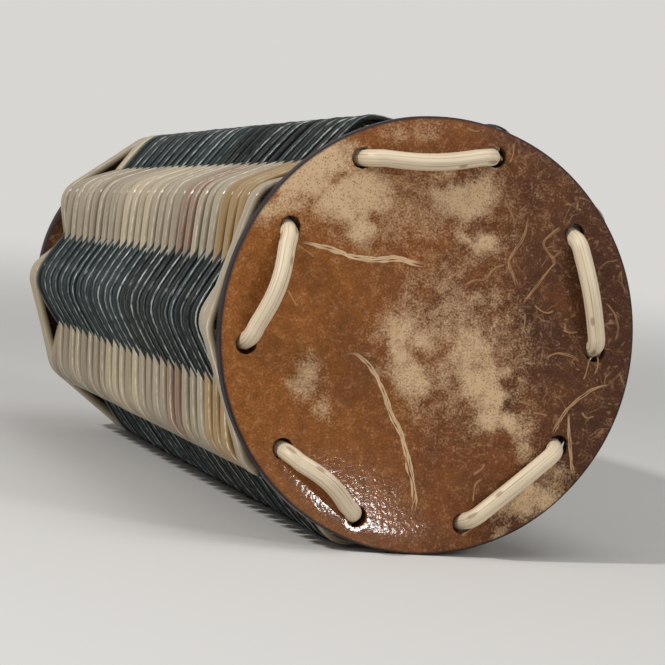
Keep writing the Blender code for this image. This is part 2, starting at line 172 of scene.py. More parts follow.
# Fibres left in the shells: width in mm, then points across and down in mm
NEAR_FIBRES = (
    (0.75, ((-16.6, 4.6), (-14.4, 3.8), (-12.4, 5.0), (-10.0, 7.5), (-8.2, 10.0), (-7.0, 13.0),
            (-5.4, 16.3), (-3.8, 19.0), (-2.6, 21.6), (-2.1, 24.0), (-0.9, 27.0), (-0.3, 30.0),
            (-1.0, 33.6))),
    (0.85, ((-26.6, -15.5), (-22.0, -14.9), (-18.0, -13.9), (-13.0, -13.2), (-9.4, -13.6), (-5.0, -13.2),
            (-1.6, -13.0))),
    (0.45, ((-13.0, -13.4), (-12.9, -16.2), (-10.4, -18.6))),
    (0.5, ((17.2, -23.6), (17.0, -21.4), (16.6, -19.2), (15.0, -16.8), (13.9, -14.4),
           (15.2, -12.3), (16.3, -9.6))),
    (0.35, ((23.8, -21.8), (21.8, -20.2), (20.2, -18.4), (21.4, -16.8), (23.6, -15.2))),
    (0.35, ((12.0, -26.4), (13.4, -24.0), (14.6, -22.0), (14.2, -20.4))),
    (0.3, ((19.6, -7.0), (21.4, -5.8), (22.8, -5.6), (23.8, -6.4))),
    (0.3, ((17.6, -1.2), (18.2, -3.4), (18.0, -5.6))),
    (0.3, ((25.6, -2.8), (27.2, -2.2), (28.8, -2.6))),
    (0.3, ((31.4, 2.2), (31.2, 4.4), (30.6, 6.4))),
    (0.3, ((33.0, 1.6), (33.4, 3.6), (32.6, 5.2))),
    (0.35, ((21.0, 12.8), (22.6, 12.9), (24.2, 13.2))),
    (0.3, ((18.0, 10.8), (19.6, 11.2), (20.8, 11.6))),
    (0.3, ((30.8, 12.0), (31.6, 13.4), (33.4, 12.8))),
    (0.35, ((9.0, 36.2), (10.2, 35.4), (11.6, 34.2))),
    (0.35, ((26.4, 20.8), (26.2, 22.8), (24.8, 24.4))),
    (0.35, ((28.2, 23.0), (28.0, 25.4), (26.6, 26.8))),
    (0.3, ((3.6, -38.4), (5.2, -37.8), (6.6, -38.0))),
    (0.3, ((13.0, -36.4), (13.4, -34.4), (12.6, -32.4))),
    (0.5, ((10.4, 24.9), (12.0, 23.8), (12.6, 22.6))),
    (0.4, ((-27.0, -15.0), (-25.0, -14.0), (-23.0, -12.8))),
    (0.35, ((13.8, -14.2), (11.2, -13.2), (9.8, -11.0), (7.4, -10.8), (5.4, -9.2))),
    (0.4, ((23.6, -15.6), (20.4, -11.4), (17.4, -6.8))),
    (0.55, ((36.2, 6.8), (33.2, 7.4), (30.2, 9.4), (28.0, 11.8), (26.6, 14.0), (25.2, 17.0))),
    (0.6, ((28.2, 12.2), (28.5, 16.0), (29.2, 20.0), (30.4, 24.4))),
    (0.4, ((22.6, 3.0), (24.4, 1.5), (27.4, 1.8), (29.8, 3.0))),
    (0.5, ((-6.6, -26.4), (-4.7, -23.4), (-4.2, -20.8), (-2.6, -18.6), (-1.4, -16.4))),
    (0.35, ((33.6, -8.4), (35.8, -6.6), (36.8, -3.4), (36.2, -1.0))),
    (0.35, ((16.6, 4.4), (17.0, 2.6), (19.0, 2.0))),
    (0.35, ((10.9, 30.0), (10.8, 26.4), (12.6, 25.4))),
    (0.4, ((-28.0, -6.8), (-26.8, -5.2), (-25.8, -3.6))),
)
FAR_FIBRES = (
    (0.6, ((-20.0, -4.0), (-14.0, -2.2), (-8.0, -3.4), (-2.0, -1.0), (5.0, -2.2), (10.0, 0.4))),
    (0.5, ((6.0, -24.0), (8.4, -17.0), (7.2, -11.0), (9.6, -6.0))),
    (0.4, ((-6.0, 8.0), (-3.4, 13.0), (-4.6, 19.0), (-1.8, 24.0))),
)


def linear(code):
    """Linear colour of an sRGB hex value."""
    shares = [int(code[place:place + 2], 16) / 255 for place in (0, 2, 4)]
    return tuple(s / 12.92 if s <= 0.04045 else ((s + 0.055) / 1.055) ** 2.4 for s in shares)


def colour(name, code, description):
    return FloatVectorProperty(
        name=name, description=description, subtype='COLOR', size=3, min=0.0, max=1.0, default=linear(code))


class ShakerSizes(bpy.types.PropertyGroup):
    """Sizes of the reed, the cane and the shell that the finish gives."""
    reed_width: FloatProperty(
        name="Reed width", description="Width of a row of reed along the shaker",
        default=2.95 * MM, min=1.0 * MM, max=3.0 * MM, unit='LENGTH', precision=5)
    reed_thickness: FloatProperty(
        name="Reed thickness", description="Thickness of the reed across the wall",
        default=1.7 * MM, min=0.6 * MM, max=2.0 * MM, unit='LENGTH', precision=5)
    reed_wander: FloatProperty(
        name="Reed wander", description="How far a hand-laid row strays from its even place",
        default=0.12 * MM, min=0.0, max=0.4 * MM, unit='LENGTH', precision=5)
    cane_radius: FloatProperty(
        name="Cane radius", description="Radius of the round stitching cane",
        default=1.6 * MM, min=0.8 * MM, max=2.0 * MM, unit='LENGTH', precision=5)
    cane_groove: FloatProperty(
        name="Cane groove", description="Depth of the grooves along a peeled cane",
        default=0.07 * MM, min=0.0, max=0.2 * MM, unit='LENGTH', precision=5)
    disc_edge: FloatProperty(
        name="Shell edge", description="Radius of the softened edge of a shell disc",
        default=0.6 * MM, min=0.2 * MM, max=1.4 * MM, unit='LENGTH', precision=5)
    hole_clearance: FloatProperty(
        name="Hole clearance", description="Room between a cane and its drilled hole at the face",
        default=0.35 * MM, min=0.1 * MM, max=1.5 * MM, unit='LENGTH', precision=5)
    fibre_height: FloatProperty(
        name="Fibre height", description="How far a fibre stands off the sanded shell",
        default=0.05 * MM, min=0.01 * MM, max=0.3 * MM, unit='LENGTH', precision=5)


class ShakerColours(bpy.types.PropertyGroup):
    """Colours of the shaker's finishes."""
    grey_reed: colour("Grey reed", "9d8e77", "Greyish tan of most of the natural reed")
    amber_reed: colour("Amber reed", "9c7c4c", "Orange tan of a resinous length of reed")
    russet_reed: colour("Russet reed", "8b6d57", "Reddish brown of a stained length of reed")
    straw_reed: colour("Straw reed", "b0a084", "Yellowish tan of a paler length of reed")
    dyed_reed: colour("Dyed reed", "0b1412", "Green-black of the dyed reed")
    worn_dyed_reed: colour("Worn dyed reed", "1a2628", "Slate of dyed reed that took less dye")
    worn_reed: colour("Worn reed", "e0d5bf", "Cream of the natural reed's worn corners")
    # The dye wear's blue grey is also painted as glints along the dyed reed's corners
    dye_wear_and_glint: colour("Dye wear", "c4ccc6", "Blue grey of fibres that the dye left bare")
    cane: colour("Cane", "dccaad", "Cream of the peeled cane")
    cane_stain: colour("Cane stain", "8c7355", "Brown of the cane's spots and streaks")
    shell_left: colour("Shell, warm side", "8a5426", "Orange brown of the shell's thin side")
    shell_middle: colour("Shell, middle", "794927", "Brown of the shell's middle")
    shell_right: colour("Shell, dark side", "4d2f1f", "Purplish brown of the shell's thick side")
    shell_patch: colour("Shell patch", "ceae88", "Pale tan of the deeply sanded patches")
    shell_pore: colour("Shell pore", "4a311f", "Dark brown of the pores in the patches")
    shell_vein: colour("Shell vein", "b08862", "Tan of the fine veins")
    shell_rim: colour("Shell rim", "2e2527", "Purple grey of the sawn and lacquered rim")
    seed: colour("Seed", "6b4a30", "Brown of the dry seeds")
    seed_streak: colour("Seed streak", "3b281b", "Dark streaks on the seeds")


class ShakerStage(bpy.types.PropertyGroup):
    """Camera, lamps and floor."""
    camera_offset: FloatVectorProperty(
        name="Camera offset", description="Camera's place from the middle of the near face",
        subtype='TRANSLATION', size=3, default=(-246.89 * MM, -682.658 * MM, 61.534 * MM))
    camera_azimuth: FloatProperty(
        name="Camera azimuth", description="Side that the camera stands on",
        default=math.radians(-18.478), subtype='ANGLE')
    camera_elevation: FloatProperty(
        name="Camera elevation", description="How far the camera looks down",
        default=math.radians(4.921), subtype='ANGLE')
    camera_roll: FloatProperty(
        name="Camera roll", description="Tilt of the camera about its own line of sight",
        default=math.radians(5.314), subtype='ANGLE')
    camera_view: FloatProperty(
        name="Camera view", description="Angle that the square picture takes in",
        default=math.radians(9.504), subtype='ANGLE')
    floor_radius: FloatProperty(
        name="Floor radius", description="Radius of the floor", default=12.0, unit='LENGTH')
    floor: colour("Floor", "d8d6d2", "Pale grey of the floor")
    backdrop: colour("Backdrop", "d8d6d2", "Pale grey that the floor fades into")
    overhead_power: FloatProperty(
        name="Overhead lamp", description="Power of the wide lamp overhead", default=1.6, unit='POWER')
    front_power: FloatProperty(
        name="Front lamp", description="Power of the wide lamp in front", default=2.1, unit='POWER')
    gloss_power: FloatProperty(
        name="Gloss lamp", description="Power of the lamp that the near shell mirrors",
        default=0.16, unit='POWER')
    gloss_spot: FloatVectorProperty(
        name="Gloss spot",
        description="Place, across and down the near shell, that the gloss lamp is set for",
        size=2, subtype='TRANSLATION', default=(-17.0 * MM, 41.5 * MM))
    crest_power: FloatProperty(
        name="Crest lamp", description="Power of the small lamp that the corners of the reed mirror",
        default=4.0, unit='POWER')
    ambient: FloatProperty(
        name="Ambient light", description="Strength of the even light all round", default=0.25, min=0.0)


# Shapes in the shaker's own axes

def round_axis(angle, radius, z):
    return Vector((-radius * math.sin(angle), -radius * math.cos(angle), z))


def stake_angle(stake):
    return FIRST_STAKE + STAKE_STEP * (stake % STAKE_COUNT)


def stake_circle(z):
    """Radius of the ring of stakes, which narrows towards the far disc."""
    near = NEAR_DISC_RADIUS - NEAR_STAKE_INSET
    far = FAR_DISC_RADIUS - FAR_STAKE_INSET
    return near + (far - near) * z / BODY_LENGTH


def near_hole(stake):
    place = stake % STAKE_COUNT
    drift = math.radians(NEAR_HOLE_DRIFT_DEGREES[place])
    outward = NEAR_HOLE_DRIFT_RADIUS_MM[place] * MM
    return stake_angle(stake) + drift, NEAR_DISC_RADIUS - NEAR_HOLE_INSET + outward


def far_hole(stake):
    return stake_angle(stake), FAR_DISC_RADIUS - FAR_HOLE_INSET


def shoulder_share(height, stake, hole, z):
    """Share of the way from a hole to the stake's line, which two equal arcs make."""
    hole_angle, hole_radius = hole
    shift = math.hypot(stake_circle(z) - hole_radius, (stake_angle(stake) - hole_angle) * hole_radius)
    length = max(SHOULDER, shift)
    bend = (length ** 2 + shift ** 2) / (4 * shift)
    height = min(max(height, 0.0), length)
    lower = min(height, length - height)
    share = (bend - math.sqrt(bend ** 2 - lower ** 2)) / shift
    return share if height < length / 2 else 1 - share


def stake_at(stake, z):
    """Angle and radius of a stake's centre, which shoulders in to its hole at each disc."""
    near_angle, near_radius = near_hole(stake)
    far_angle, far_radius = far_hole(stake)
    start = DISC_THICKNESS - SHOULDER_SINK
    near_share = shoulder_share(z - start, stake, (near_angle, near_radius), z)
    far_share = shoulder_share(BODY_LENGTH - start - z, stake, (far_angle, far_radius), z)
    angle = near_angle + (stake_angle(stake) - near_angle) * near_share
    angle = far_angle + (angle - far_angle) * far_share
    radius = near_radius + (stake_circle(z) - near_radius) * near_share
    radius = far_radius + (radius - far_radius) * far_share
    return angle, radius


def stake_point(stake, z):
    return round_axis(*stake_at(stake, z), z)


def smooth_line(corners, steps):
    """Rounded line along a run of corners, from the first to the last."""
    line = []
    held = [corners[0], *corners, corners[-1]]
    for first, middle, last in zip(held, held[1:], held[2:]):
        for step in range(steps):
            t = step / steps
            line.append(first * (1 - t) ** 2 / 2 + middle * (0.5 + t * (1 - t)) + last * t * t / 2)
    line.append(corners[-1].copy())
    return line


def directions(line):
    """Direction of travel at each point of a line."""
    ahead = line[1:] + line[-1:]
    behind = line[:1] + line[:-1]
    return [(after - before).normalized() for after, before in zip(ahead, behind)]


def distances(line):
    """Length of a line up to each of its points."""
    total = 0.0
    found = [total]
    for first, last in zip(line, line[1:]):
        total += (last - first).length
        found.append(total)
    return found


def skin(name, rings, lengths, girth, tones=None):
    """Closed skin over a run of rings. Its map counts millimetres along and around."""
    sides = len(rings[0])
    points = [LAID @ point for ring in rings for point in ring]
    faces = []
    spots = []
    for row in range(len(rings) - 1):
        low, high = lengths[row] / MM, lengths[row + 1] / MM
        for side in range(sides):
            here = row * sides + side
            beside = row * sides + (side + 1) % sides
            faces.append((here, beside, beside + sides, here + sides))
            start, finish = girth / MM * side / sides, girth / MM * (side + 1) / sides
            spots += [(low, start), (low, finish), (high, finish), (high, start)]
    last_ring = len(points) - sides
    faces.append(tuple(reversed(range(sides))))
    faces.append(tuple(range(last_ring, len(points))))
    spots += [(lengths[0] / MM, 0.0)] * sides + [(lengths[-1] / MM, 0.0)] * sides
    mesh = bpy.data.meshes.new(name)
    mesh.from_pydata(points, [], faces)
    layer = mesh.uv_layers.new(name="along_mm")
    layer.data.foreach_set("uv", [value for spot in spots for value in spot])
    if tones:
        painted = mesh.color_attributes.new("splice_colour", 'FLOAT_COLOR', 'POINT')
        values = [value for tone in tones for _ in range(sides) for value in (*tone, 1.0)]
        painted.data.foreach_set("color", values)
    mesh.shade_smooth()
    return mesh


def place(name, mesh, material, body, node, slot):
    """Shows a mesh as a piece that rides on a body and stands for a node of the frame."""
    piece = bpy.data.objects.new(name, mesh)
    mesh.materials.append(material)
    bpy.context.scene.collection.objects.link(piece)
    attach(piece, body)
    if node:
        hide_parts(node)
    return piece


# Materials

def add_node(tree, kind, inputs=None, **settings):
    """Adds a node with its settings, and sets or links its inputs."""
    made = tree.nodes.new(kind)
    for setting, value in settings.items():
        setattr(made, setting, value)
    for socket, value in (inputs or {}).items():
        if isinstance(value, bpy.types.NodeSocket):
            tree.links.new(value, made.inputs[socket])
        else:
            made.inputs[socket].default_value = value
    return made


def new_material(name, roughness, ior):
    material = bpy.data.materials.new(name)
    material.use_nodes = True
    tree = material.node_tree
    shader = tree.nodes["Principled BSDF"]
    shader.inputs["Roughness"].default_value = roughness
    shader.inputs["IOR"].default_value = ior
    return material, tree, shader


def solid(value):
    return (*value, 1.0)


# Sockets of the Mix node when it mixes colours
FACTOR, FIRST, SECOND, MIXED = 0, 6, 7, 2


def reed_material(name, wear_and_glint_tone, fibre_share, edge_wear_and_glint_share, dark_wear, grime_and_crease_shade, knocked, coat, girth_mm):
    """Split rattan reed, peeled flat and waxed by handling: long fibres that break up its sheen,
    corners painted pale, as wear and, on the dyed reed, as painted glints, and painted shade
    with some grime where one row meets the next."""
    material, tree, shader = new_material(name, 0.45, 1.5)
    shader.inputs["Specular IOR Level"].default_value = 0.0
    splice = add_node(tree, "ShaderNodeVertexColor", layer_name="splice_colour").outputs["Color"]
    place_mm = add_node(tree, "ShaderNodeUVMap", uv_map="along_mm").outputs["UV"]
    around = add_node(tree, "ShaderNodeSeparateXYZ", {"Vector": place_mm}).outputs["Y"]
    share = add_node(tree, "ShaderNodeMath", {
        0: around, 1: 1 / girth_mm, 2: -0.5}, operation='MULTIPLY_ADD')
    off_crest = add_node(tree, "ShaderNodeMath", {0: share.outputs[0]}, operation='ABSOLUTE').outputs[0]

    # Fibre bundles are about 0.3 mm wide and run on for some 25 mm
    bundles = add_node(tree, "ShaderNodeMapping", {"Vector": place_mm, "Scale": (1 / 25, 1 / 0.3, 1.0)})
    fibres = add_node(tree, "ShaderNodeTexNoise", {
        "Vector": bundles.outputs[0], "Scale": 1.0, "Detail": 4.0, "Roughness": 0.6})
    # Handling and growth shade the reed over some 40 mm
    shades = add_node(tree, "ShaderNodeMapping", {"Vector": place_mm, "Scale": (1 / 40, 1 / 8, 1.0)})
    shade = add_node(tree, "ShaderNodeTexNoise", {
        "Vector": shades.outputs[0], "Scale": 1.0, "Detail": 3.0})
    light = add_node(tree, "ShaderNodeMapRange", {
        "Value": shade.outputs[0], "From Min": 0.3, "From Max": 0.7, "To Min": 0.82, "To Max": 1.14})
    # Painted shade, with some grime, darkens the reed's sides where one row meets the next
    soiled_and_shaded = add_node(tree, "ShaderNodeMapRange", {
        "Value": off_crest, "From Min": 0.2, "From Max": 0.31, "To Min": 1.0, "To Max": grime_and_crease_shade})
    light = add_node(tree, "ShaderNodeMath", {
        0: light.outputs[0], 1: soiled_and_shaded.outputs[0]}, operation='MULTIPLY')
    shaded = add_node(tree, "ShaderNodeVectorMath", {
        0: splice, "Scale": light.outputs[0]}, operation='SCALE')
    # Dyed lengths spliced into undyed reed show none of its pale wear
    paleness = add_node(tree, "ShaderNodeRGBToBW", {"Color": splice})
    shown = add_node(tree, "ShaderNodeMapRange", {
        "Value": paleness.outputs[0], "From Min": 0.02, "From Max": 0.08, "To Min": dark_wear}).outputs[0]
    bare = add_node(tree, "ShaderNodeMapRange", {
        "Value": fibres.outputs[0], "From Min": 0.5, "From Max": 0.72, "To Max": fibre_share})
    bare = add_node(tree, "ShaderNodeMath", {0: bare.outputs[0], 1: shown}, operation='MULTIPLY')
    tone = add_node(tree, "ShaderNodeMix", {
        FACTOR: bare.outputs[0], FIRST: shaded.outputs[0], SECOND: solid(wear_and_glint_tone)}, data_type='RGBA')

    # Knocks about 1.5 mm long break the wear, the painted glints and the sheen along the fibres
    knocks = add_node(tree, "ShaderNodeMapping", {"Vector": place_mm, "Scale": (1 / 1.5, 1 / 0.5, 1.0)})
    knock = add_node(tree, "ShaderNodeTexNoise", {
        "Vector": knocks.outputs[0], "Scale": 1.0, "Detail": 2.0})
    broken = add_node(tree, "ShaderNodeMapRange", {
        "Value": knock.outputs[0], "From Min": 0.42, "From Max": 0.6, "To Min": 0.22, "To Max": 1.3})
    wear_and_glint_left = add_node(tree, "ShaderNodeMath", {0: broken.outputs[0], 1: shown}, operation='MULTIPLY')

    # Corners 0.3 mm wide, painted pale: worn, rubbed more in some places than in others, and on the dyed
    # reed also painted glints
    corner = add_node(tree, "ShaderNodeMath", {0: off_crest, 1: 0.125}, operation='SUBTRACT')
    corner = add_node(tree, "ShaderNodeMath", {0: corner.outputs[0]}, operation='ABSOLUTE')
    corner_wear_and_glint = add_node(tree, "ShaderNodeMapRange", {
        "Value": corner.outputs[0], "From Min": 0.05, "From Max": 0.015}, interpolation_type='SMOOTHSTEP')
    rubbed_and_glinting = add_node(tree, "ShaderNodeMapRange", {
        "Value": shade.outputs[0], "From Min": 0.38, "From Max": 0.62, "To Min": 0.05, "To Max": edge_wear_and_glint_share})
    corner_wear_and_glint = add_node(tree, "ShaderNodeMath", {
        0: corner_wear_and_glint.outputs[0], 1: rubbed_and_glinting.outputs[0]}, operation='MULTIPLY')
    corner_wear_and_glint = add_node(tree, "ShaderNodeMath", {
        0: corner_wear_and_glint.outputs[0], 1: wear_and_glint_left.outputs[0]}, operation='MULTIPLY')
    tone = add_node(tree, "ShaderNodeMix", {
        FACTOR: corner_wear_and_glint.outputs[0], FIRST: tone.outputs[MIXED], SECOND: solid(wear_and_glint_tone)}, data_type='RGBA')
    tree.links.new(tone.outputs[MIXED], shader.inputs["Base Color"])

    sheen = add_node(tree, "ShaderNodeMapRange", {
        "Value": fibres.outputs[0], "From Min": 0.3, "From Max": 0.7, "To Min": 0.38, "To Max": 0.58})
    tree.links.new(sheen.outputs[0], shader.inputs["Roughness"])
    height = add_node(tree, "ShaderNodeMath", {
        0: knock.outputs[0], 1: 0.5, 2: fibres.outputs[0]}, operation='MULTIPLY_ADD')
    relief = add_node(tree, "ShaderNodeBump", {
        "Height": height.outputs[0], "Strength": knocked, "Distance": 0.12 * MM})
    for normal in ("Normal", "Coat Normal"):
        tree.links.new(relief.outputs[0], shader.inputs[normal])
    shader.inputs["Coat Weight"].default_value = coat
    shader.inputs["Coat Roughness"].default_value = 0.15
    return material


def cane_material(colours):
    """Round rattan core, peeled and dried: pale, satin, grooved lengthwise, with small brown spots."""
    material, tree, shader = new_material("peeled_rattan_cane", 0.45, 1.5)
    place_mm = add_node(tree, "ShaderNodeUVMap", uv_map="along_mm").outputs["UV"]
    # Pores lie in lines about 0.45 mm apart that run on for 30 mm
    lines = add_node(tree, "ShaderNodeMapping", {"Vector": place_mm, "Scale": (1 / 30, 1 / 0.45, 1.0)})
    grain = add_node(tree, "ShaderNodeTexNoise", {
        "Vector": lines.outputs[0], "Scale": 1.0, "Detail": 3.0, "Roughness": 0.55})
    groove = add_node(tree, "ShaderNodeMapRange", {
        "Value": grain.outputs[0], "From Min": 0.48, "From Max": 0.32, "To Max": 0.7})
    grooved = add_node(tree, "ShaderNodeMix", {
        FACTOR: groove.outputs[0], FIRST: solid(colours.cane), SECOND: solid(colours.cane_stain)},
        data_type='RGBA')
    # Spots are about 0.8 mm long and some 9 mm apart
    spread = add_node(tree, "ShaderNodeMapping", {"Vector": place_mm, "Scale": (1 / 9, 1 / 4.5, 1.0)})
    cells = add_node(tree, "ShaderNodeTexVoronoi", {
        "Vector": spread.outputs[0], "Scale": 1.0}, voronoi_dimensions='2D')
    spot = add_node(tree, "ShaderNodeMapRange", {
        "Value": cells.outputs["Distance"], "From Min": 0.13, "From Max": 0.05, "To Max": 0.7},
        interpolation_type='SMOOTHSTEP')
    tone = add_node(tree, "ShaderNodeMix", {
        FACTOR: spot.outputs[0], FIRST: grooved.outputs[MIXED], SECOND: solid(colours.cane_stain)},
        data_type='RGBA')
    tree.links.new(tone.outputs[MIXED], shader.inputs["Base Color"])
    relief = add_node(tree, "ShaderNodeBump", {
        "Height": grain.outputs[0], "Strength": 0.5, "Distance": 0.1 * MM})
    tree.links.new(relief.outputs[0], shader.inputs["Normal"])
    return material


def shell_material(name, colours, radius, patches, pool, shift):
    """Coconut shell, sanded flat and lacquered: warm brown mottling, pale patches with dark pores,
    a net of fine veins, and a gloss with the scratches of the sanding where the lacquer pooled."""
    material, tree, shader = new_material(name, 0.5, 1.45)
    shader.inputs["Specular IOR Level"].default_value = 0.12
    face_mm = add_node(tree, "ShaderNodeUVMap", uv_map="face_mm").outputs["UV"]
    grown = add_node(tree, "ShaderNodeVectorMath", {
        0: face_mm, 1: (shift, 2 * shift, shift)}, operation='ADD')
    grown = grown.outputs[0]

    # Growth wanders by a few millimetres over about 8 mm
    drift = add_node(tree, "ShaderNodeTexNoise", {"Vector": grown, "Scale": 1 / 8, "Detail": 4.0})
    centred = add_node(tree, "ShaderNodeVectorMath", {
        0: drift.outputs[1], 1: (0.5, 0.5, 0.5)}, operation='SUBTRACT')
    bent = add_node(tree, "ShaderNodeVectorMath", {
        0: centred.outputs[0], "Scale": 7.0}, operation='SCALE')
    wander = add_node(tree, "ShaderNodeVectorMath", {
        0: face_mm, 1: bent.outputs[0]}, operation='ADD').outputs[0]

    # Warm to purplish brown from one side to the other, clouded over about 14 mm
    across = add_node(tree, "ShaderNodeSeparateXYZ", {"Vector": wander}).outputs["X"]
    clouds = add_node(tree, "ShaderNodeTexNoise", {
        "Vector": grown, "Scale": 1 / 14, "Detail": 5.0, "Roughness": 0.6})
    side = add_node(tree, "ShaderNodeMapRange", {
        "Value": across, "From Min": WARM_SIDE_MM, "From Max": DARK_SIDE_MM})
    cloud = add_node(tree, "ShaderNodeMapRange", {
        "Value": clouds.outputs[0], "From Min": 0.25, "From Max": 0.75, "To Min": -0.3, "To Max": 0.3})
    depth = add_node(tree, "ShaderNodeMath", {0: side.outputs[0], 1: cloud.outputs[0]}, operation='ADD')
    warm = add_node(tree, "ShaderNodeMapRange", {"Value": depth.outputs[0], "From Max": WARM_END})
    dark = add_node(tree, "ShaderNodeMapRange", {
        "Value": depth.outputs[0], "From Min": DARK_START, "From Max": DARK_END})
    base = add_node(tree, "ShaderNodeMix", {
        FACTOR: warm.outputs[0], FIRST: solid(colours.shell_left), SECOND: solid(colours.shell_middle)},
        data_type='RGBA')
    base = add_node(tree, "ShaderNodeMix", {
        FACTOR: dark.outputs[0], FIRST: base.outputs[MIXED], SECOND: solid(colours.shell_right)},
        data_type='RGBA')

    # Mottles of about 2 mm and grains of 0.4 mm
    mottle = add_node(tree, "ShaderNodeTexNoise", {
        "Vector": grown, "Scale": 1 / 2.2, "Detail": 6.0, "Roughness": 0.7})
    grain = add_node(tree, "ShaderNodeTexNoise", {
        "Vector": grown, "Scale": 1 / 0.4, "Detail": 2.0, "Roughness": 0.6})
    mottled = add_node(tree, "ShaderNodeMath", {
        0: grain.outputs[0], 1: mottle.outputs[0]}, operation='ADD')
    light = add_node(tree, "ShaderNodeMapRange", {
        "Value": mottled.outputs[0], "From Min": 0.7, "From Max": 1.3, "To Min": 0.6, "To Max": 1.42})
    base = add_node(tree, "ShaderNodeVectorMath", {
        0: base.outputs[MIXED], "Scale": light.outputs[0]}, operation='SCALE')

    # Pale patches with soft, ragged borders
    pale = 0.0
    for x, y, length, width, turn, strength in patches:
        spot = add_node(tree, "ShaderNodeMapping", {
            "Vector": wander, "Location": (x, y, 0.0), "Rotation": (0.0, 0.0, math.radians(turn)),
            "Scale": (length, width, 1.0)}, vector_type='TEXTURE')
        reach = add_node(tree, "ShaderNodeVectorMath", {0: spot.outputs[0]}, operation='LENGTH')
        cover = add_node(tree, "ShaderNodeMapRange", {
            "Value": reach.outputs["Value"], "From Min": 1.9, "From Max": 0.4, "To Max": strength},
            interpolation_type='SMOOTHSTEP')
        pale = add_node(tree, "ShaderNodeMath", {
            0: pale, 1: cover.outputs[0]}, operation='MAXIMUM').outputs[0]
    frayed = add_node(tree, "ShaderNodeMath", {0: mottled.outputs[0], 1: 1.0}, operation='SUBTRACT')
    ragged = add_node(tree, "ShaderNodeMath", {
        0: frayed.outputs[0], 1: 1.3, 2: pale}, operation='MULTIPLY_ADD')
    cover = add_node(tree, "ShaderNodeMapRange", {
        "Value": ragged.outputs[0], "From Min": 0.05, "From Max": 1.05},
        interpolation_type='SMOOTHSTEP').outputs[0]
    base = add_node(tree, "ShaderNodeMix", {
        FACTOR: cover, FIRST: base.outputs[0], SECOND: solid(colours.shell_patch)}, data_type='RGBA')

    # Pores about 0.2 mm wide and 0.45 mm apart, seen in the pale patches
    pores = add_node(tree, "ShaderNodeTexVoronoi", {
        "Vector": grown, "Scale": 1 / 0.45, "Randomness": 1.0})
    pore = add_node(tree, "ShaderNodeMapRange", {
        "Value": pores.outputs["Distance"], "From Min": 0.42, "From Max": 0.18, "To Max": 0.6},
        interpolation_type='SMOOTHSTEP')
    kept = add_node(tree, "ShaderNodeSeparateXYZ", {"Vector": pores.outputs["Color"]})
    some = add_node(tree, "ShaderNodeMath", {0: kept.outputs["X"], 1: 0.25}, operation='GREATER_THAN')
    pitted = add_node(tree, "ShaderNodeMath", {
        0: pore.outputs[0], 1: some.outputs[0]}, operation='MULTIPLY')
    pitted = add_node(tree, "ShaderNodeMath", {
        0: pitted.outputs[0], 1: cover}, operation='MULTIPLY').outputs[0]
    base = add_node(tree, "ShaderNodeMix", {
        FACTOR: pitted, FIRST: base.outputs[MIXED], SECOND: solid(colours.shell_pore)}, data_type='RGBA')

    # Pale specks about 0.7 mm wide and 3 mm apart
    specks = add_node(tree, "ShaderNodeTexVoronoi", {
        "Vector": wander, "Scale": 1 / 3}, voronoi_dimensions='2D')
    speck = add_node(tree, "ShaderNodeMapRange", {
        "Value": specks.outputs["Distance"], "From Min": 0.13, "From Max": 0.04, "To Max": 0.35},
        interpolation_type='SMOOTHSTEP')
    base = add_node(tree, "ShaderNodeMix", {
        FACTOR: speck.outputs[0], FIRST: base.outputs[MIXED], SECOND: solid(colours.shell_vein)},
        data_type='RGBA')

    # Veins 0.2 mm wide that branch every 8 mm or so, and every 4.5 mm on the dark side
    breaks = add_node(tree, "ShaderNodeTexNoise", {"Vector": grown, "Scale": 1 / 4, "Detail": 3.0})
    for cell_mm, most, fewest, shown in ((8.0, 0.012, 0.5, 0.5), (4.5, 0.02, 0.48, dark.outputs[0])):
        cracks = add_node(tree, "ShaderNodeTexVoronoi", {
            "Vector": wander, "Scale": 1 / cell_mm}, feature='DISTANCE_TO_EDGE')
        line = add_node(tree, "ShaderNodeMapRange", {
            "Value": cracks.outputs["Distance"], "From Min": 2.4 * most, "From Max": 0.4 * most},
            interpolation_type='SMOOTHSTEP')
        whole = add_node(tree, "ShaderNodeMapRange", {
            "Value": breaks.outputs[0], "From Min": fewest, "From Max": fewest + 0.15, "To Max": 0.5})
        vein = add_node(tree, "ShaderNodeMath", {
            0: line.outputs[0], 1: whole.outputs[0]}, operation='MULTIPLY')
        vein = add_node(tree, "ShaderNodeMath", {0: vein.outputs[0], 1: shown}, operation='MULTIPLY')
        base = add_node(tree, "ShaderNodeMix", {
            FACTOR: vein.outputs[0], FIRST: base.outputs[MIXED], SECOND: solid(colours.shell_vein)},
            data_type='RGBA')

    # Sawn rim, darker than the face
    out = add_node(tree, "ShaderNodeVectorMath", {0: face_mm}, operation='LENGTH')
    rim = add_node(tree, "ShaderNodeMapRange", {
        "Value": out.outputs["Value"], "From Min": radius / MM - 0.6, "From Max": radius / MM - 0.2})
    base = add_node(tree, "ShaderNodeMix", {
        FACTOR: rim.outputs[0], FIRST: base.outputs[MIXED], SECOND: solid(colours.shell_rim)},
        data_type='RGBA')
    tree.links.new(base.outputs[MIXED], shader.inputs["Base Color"])

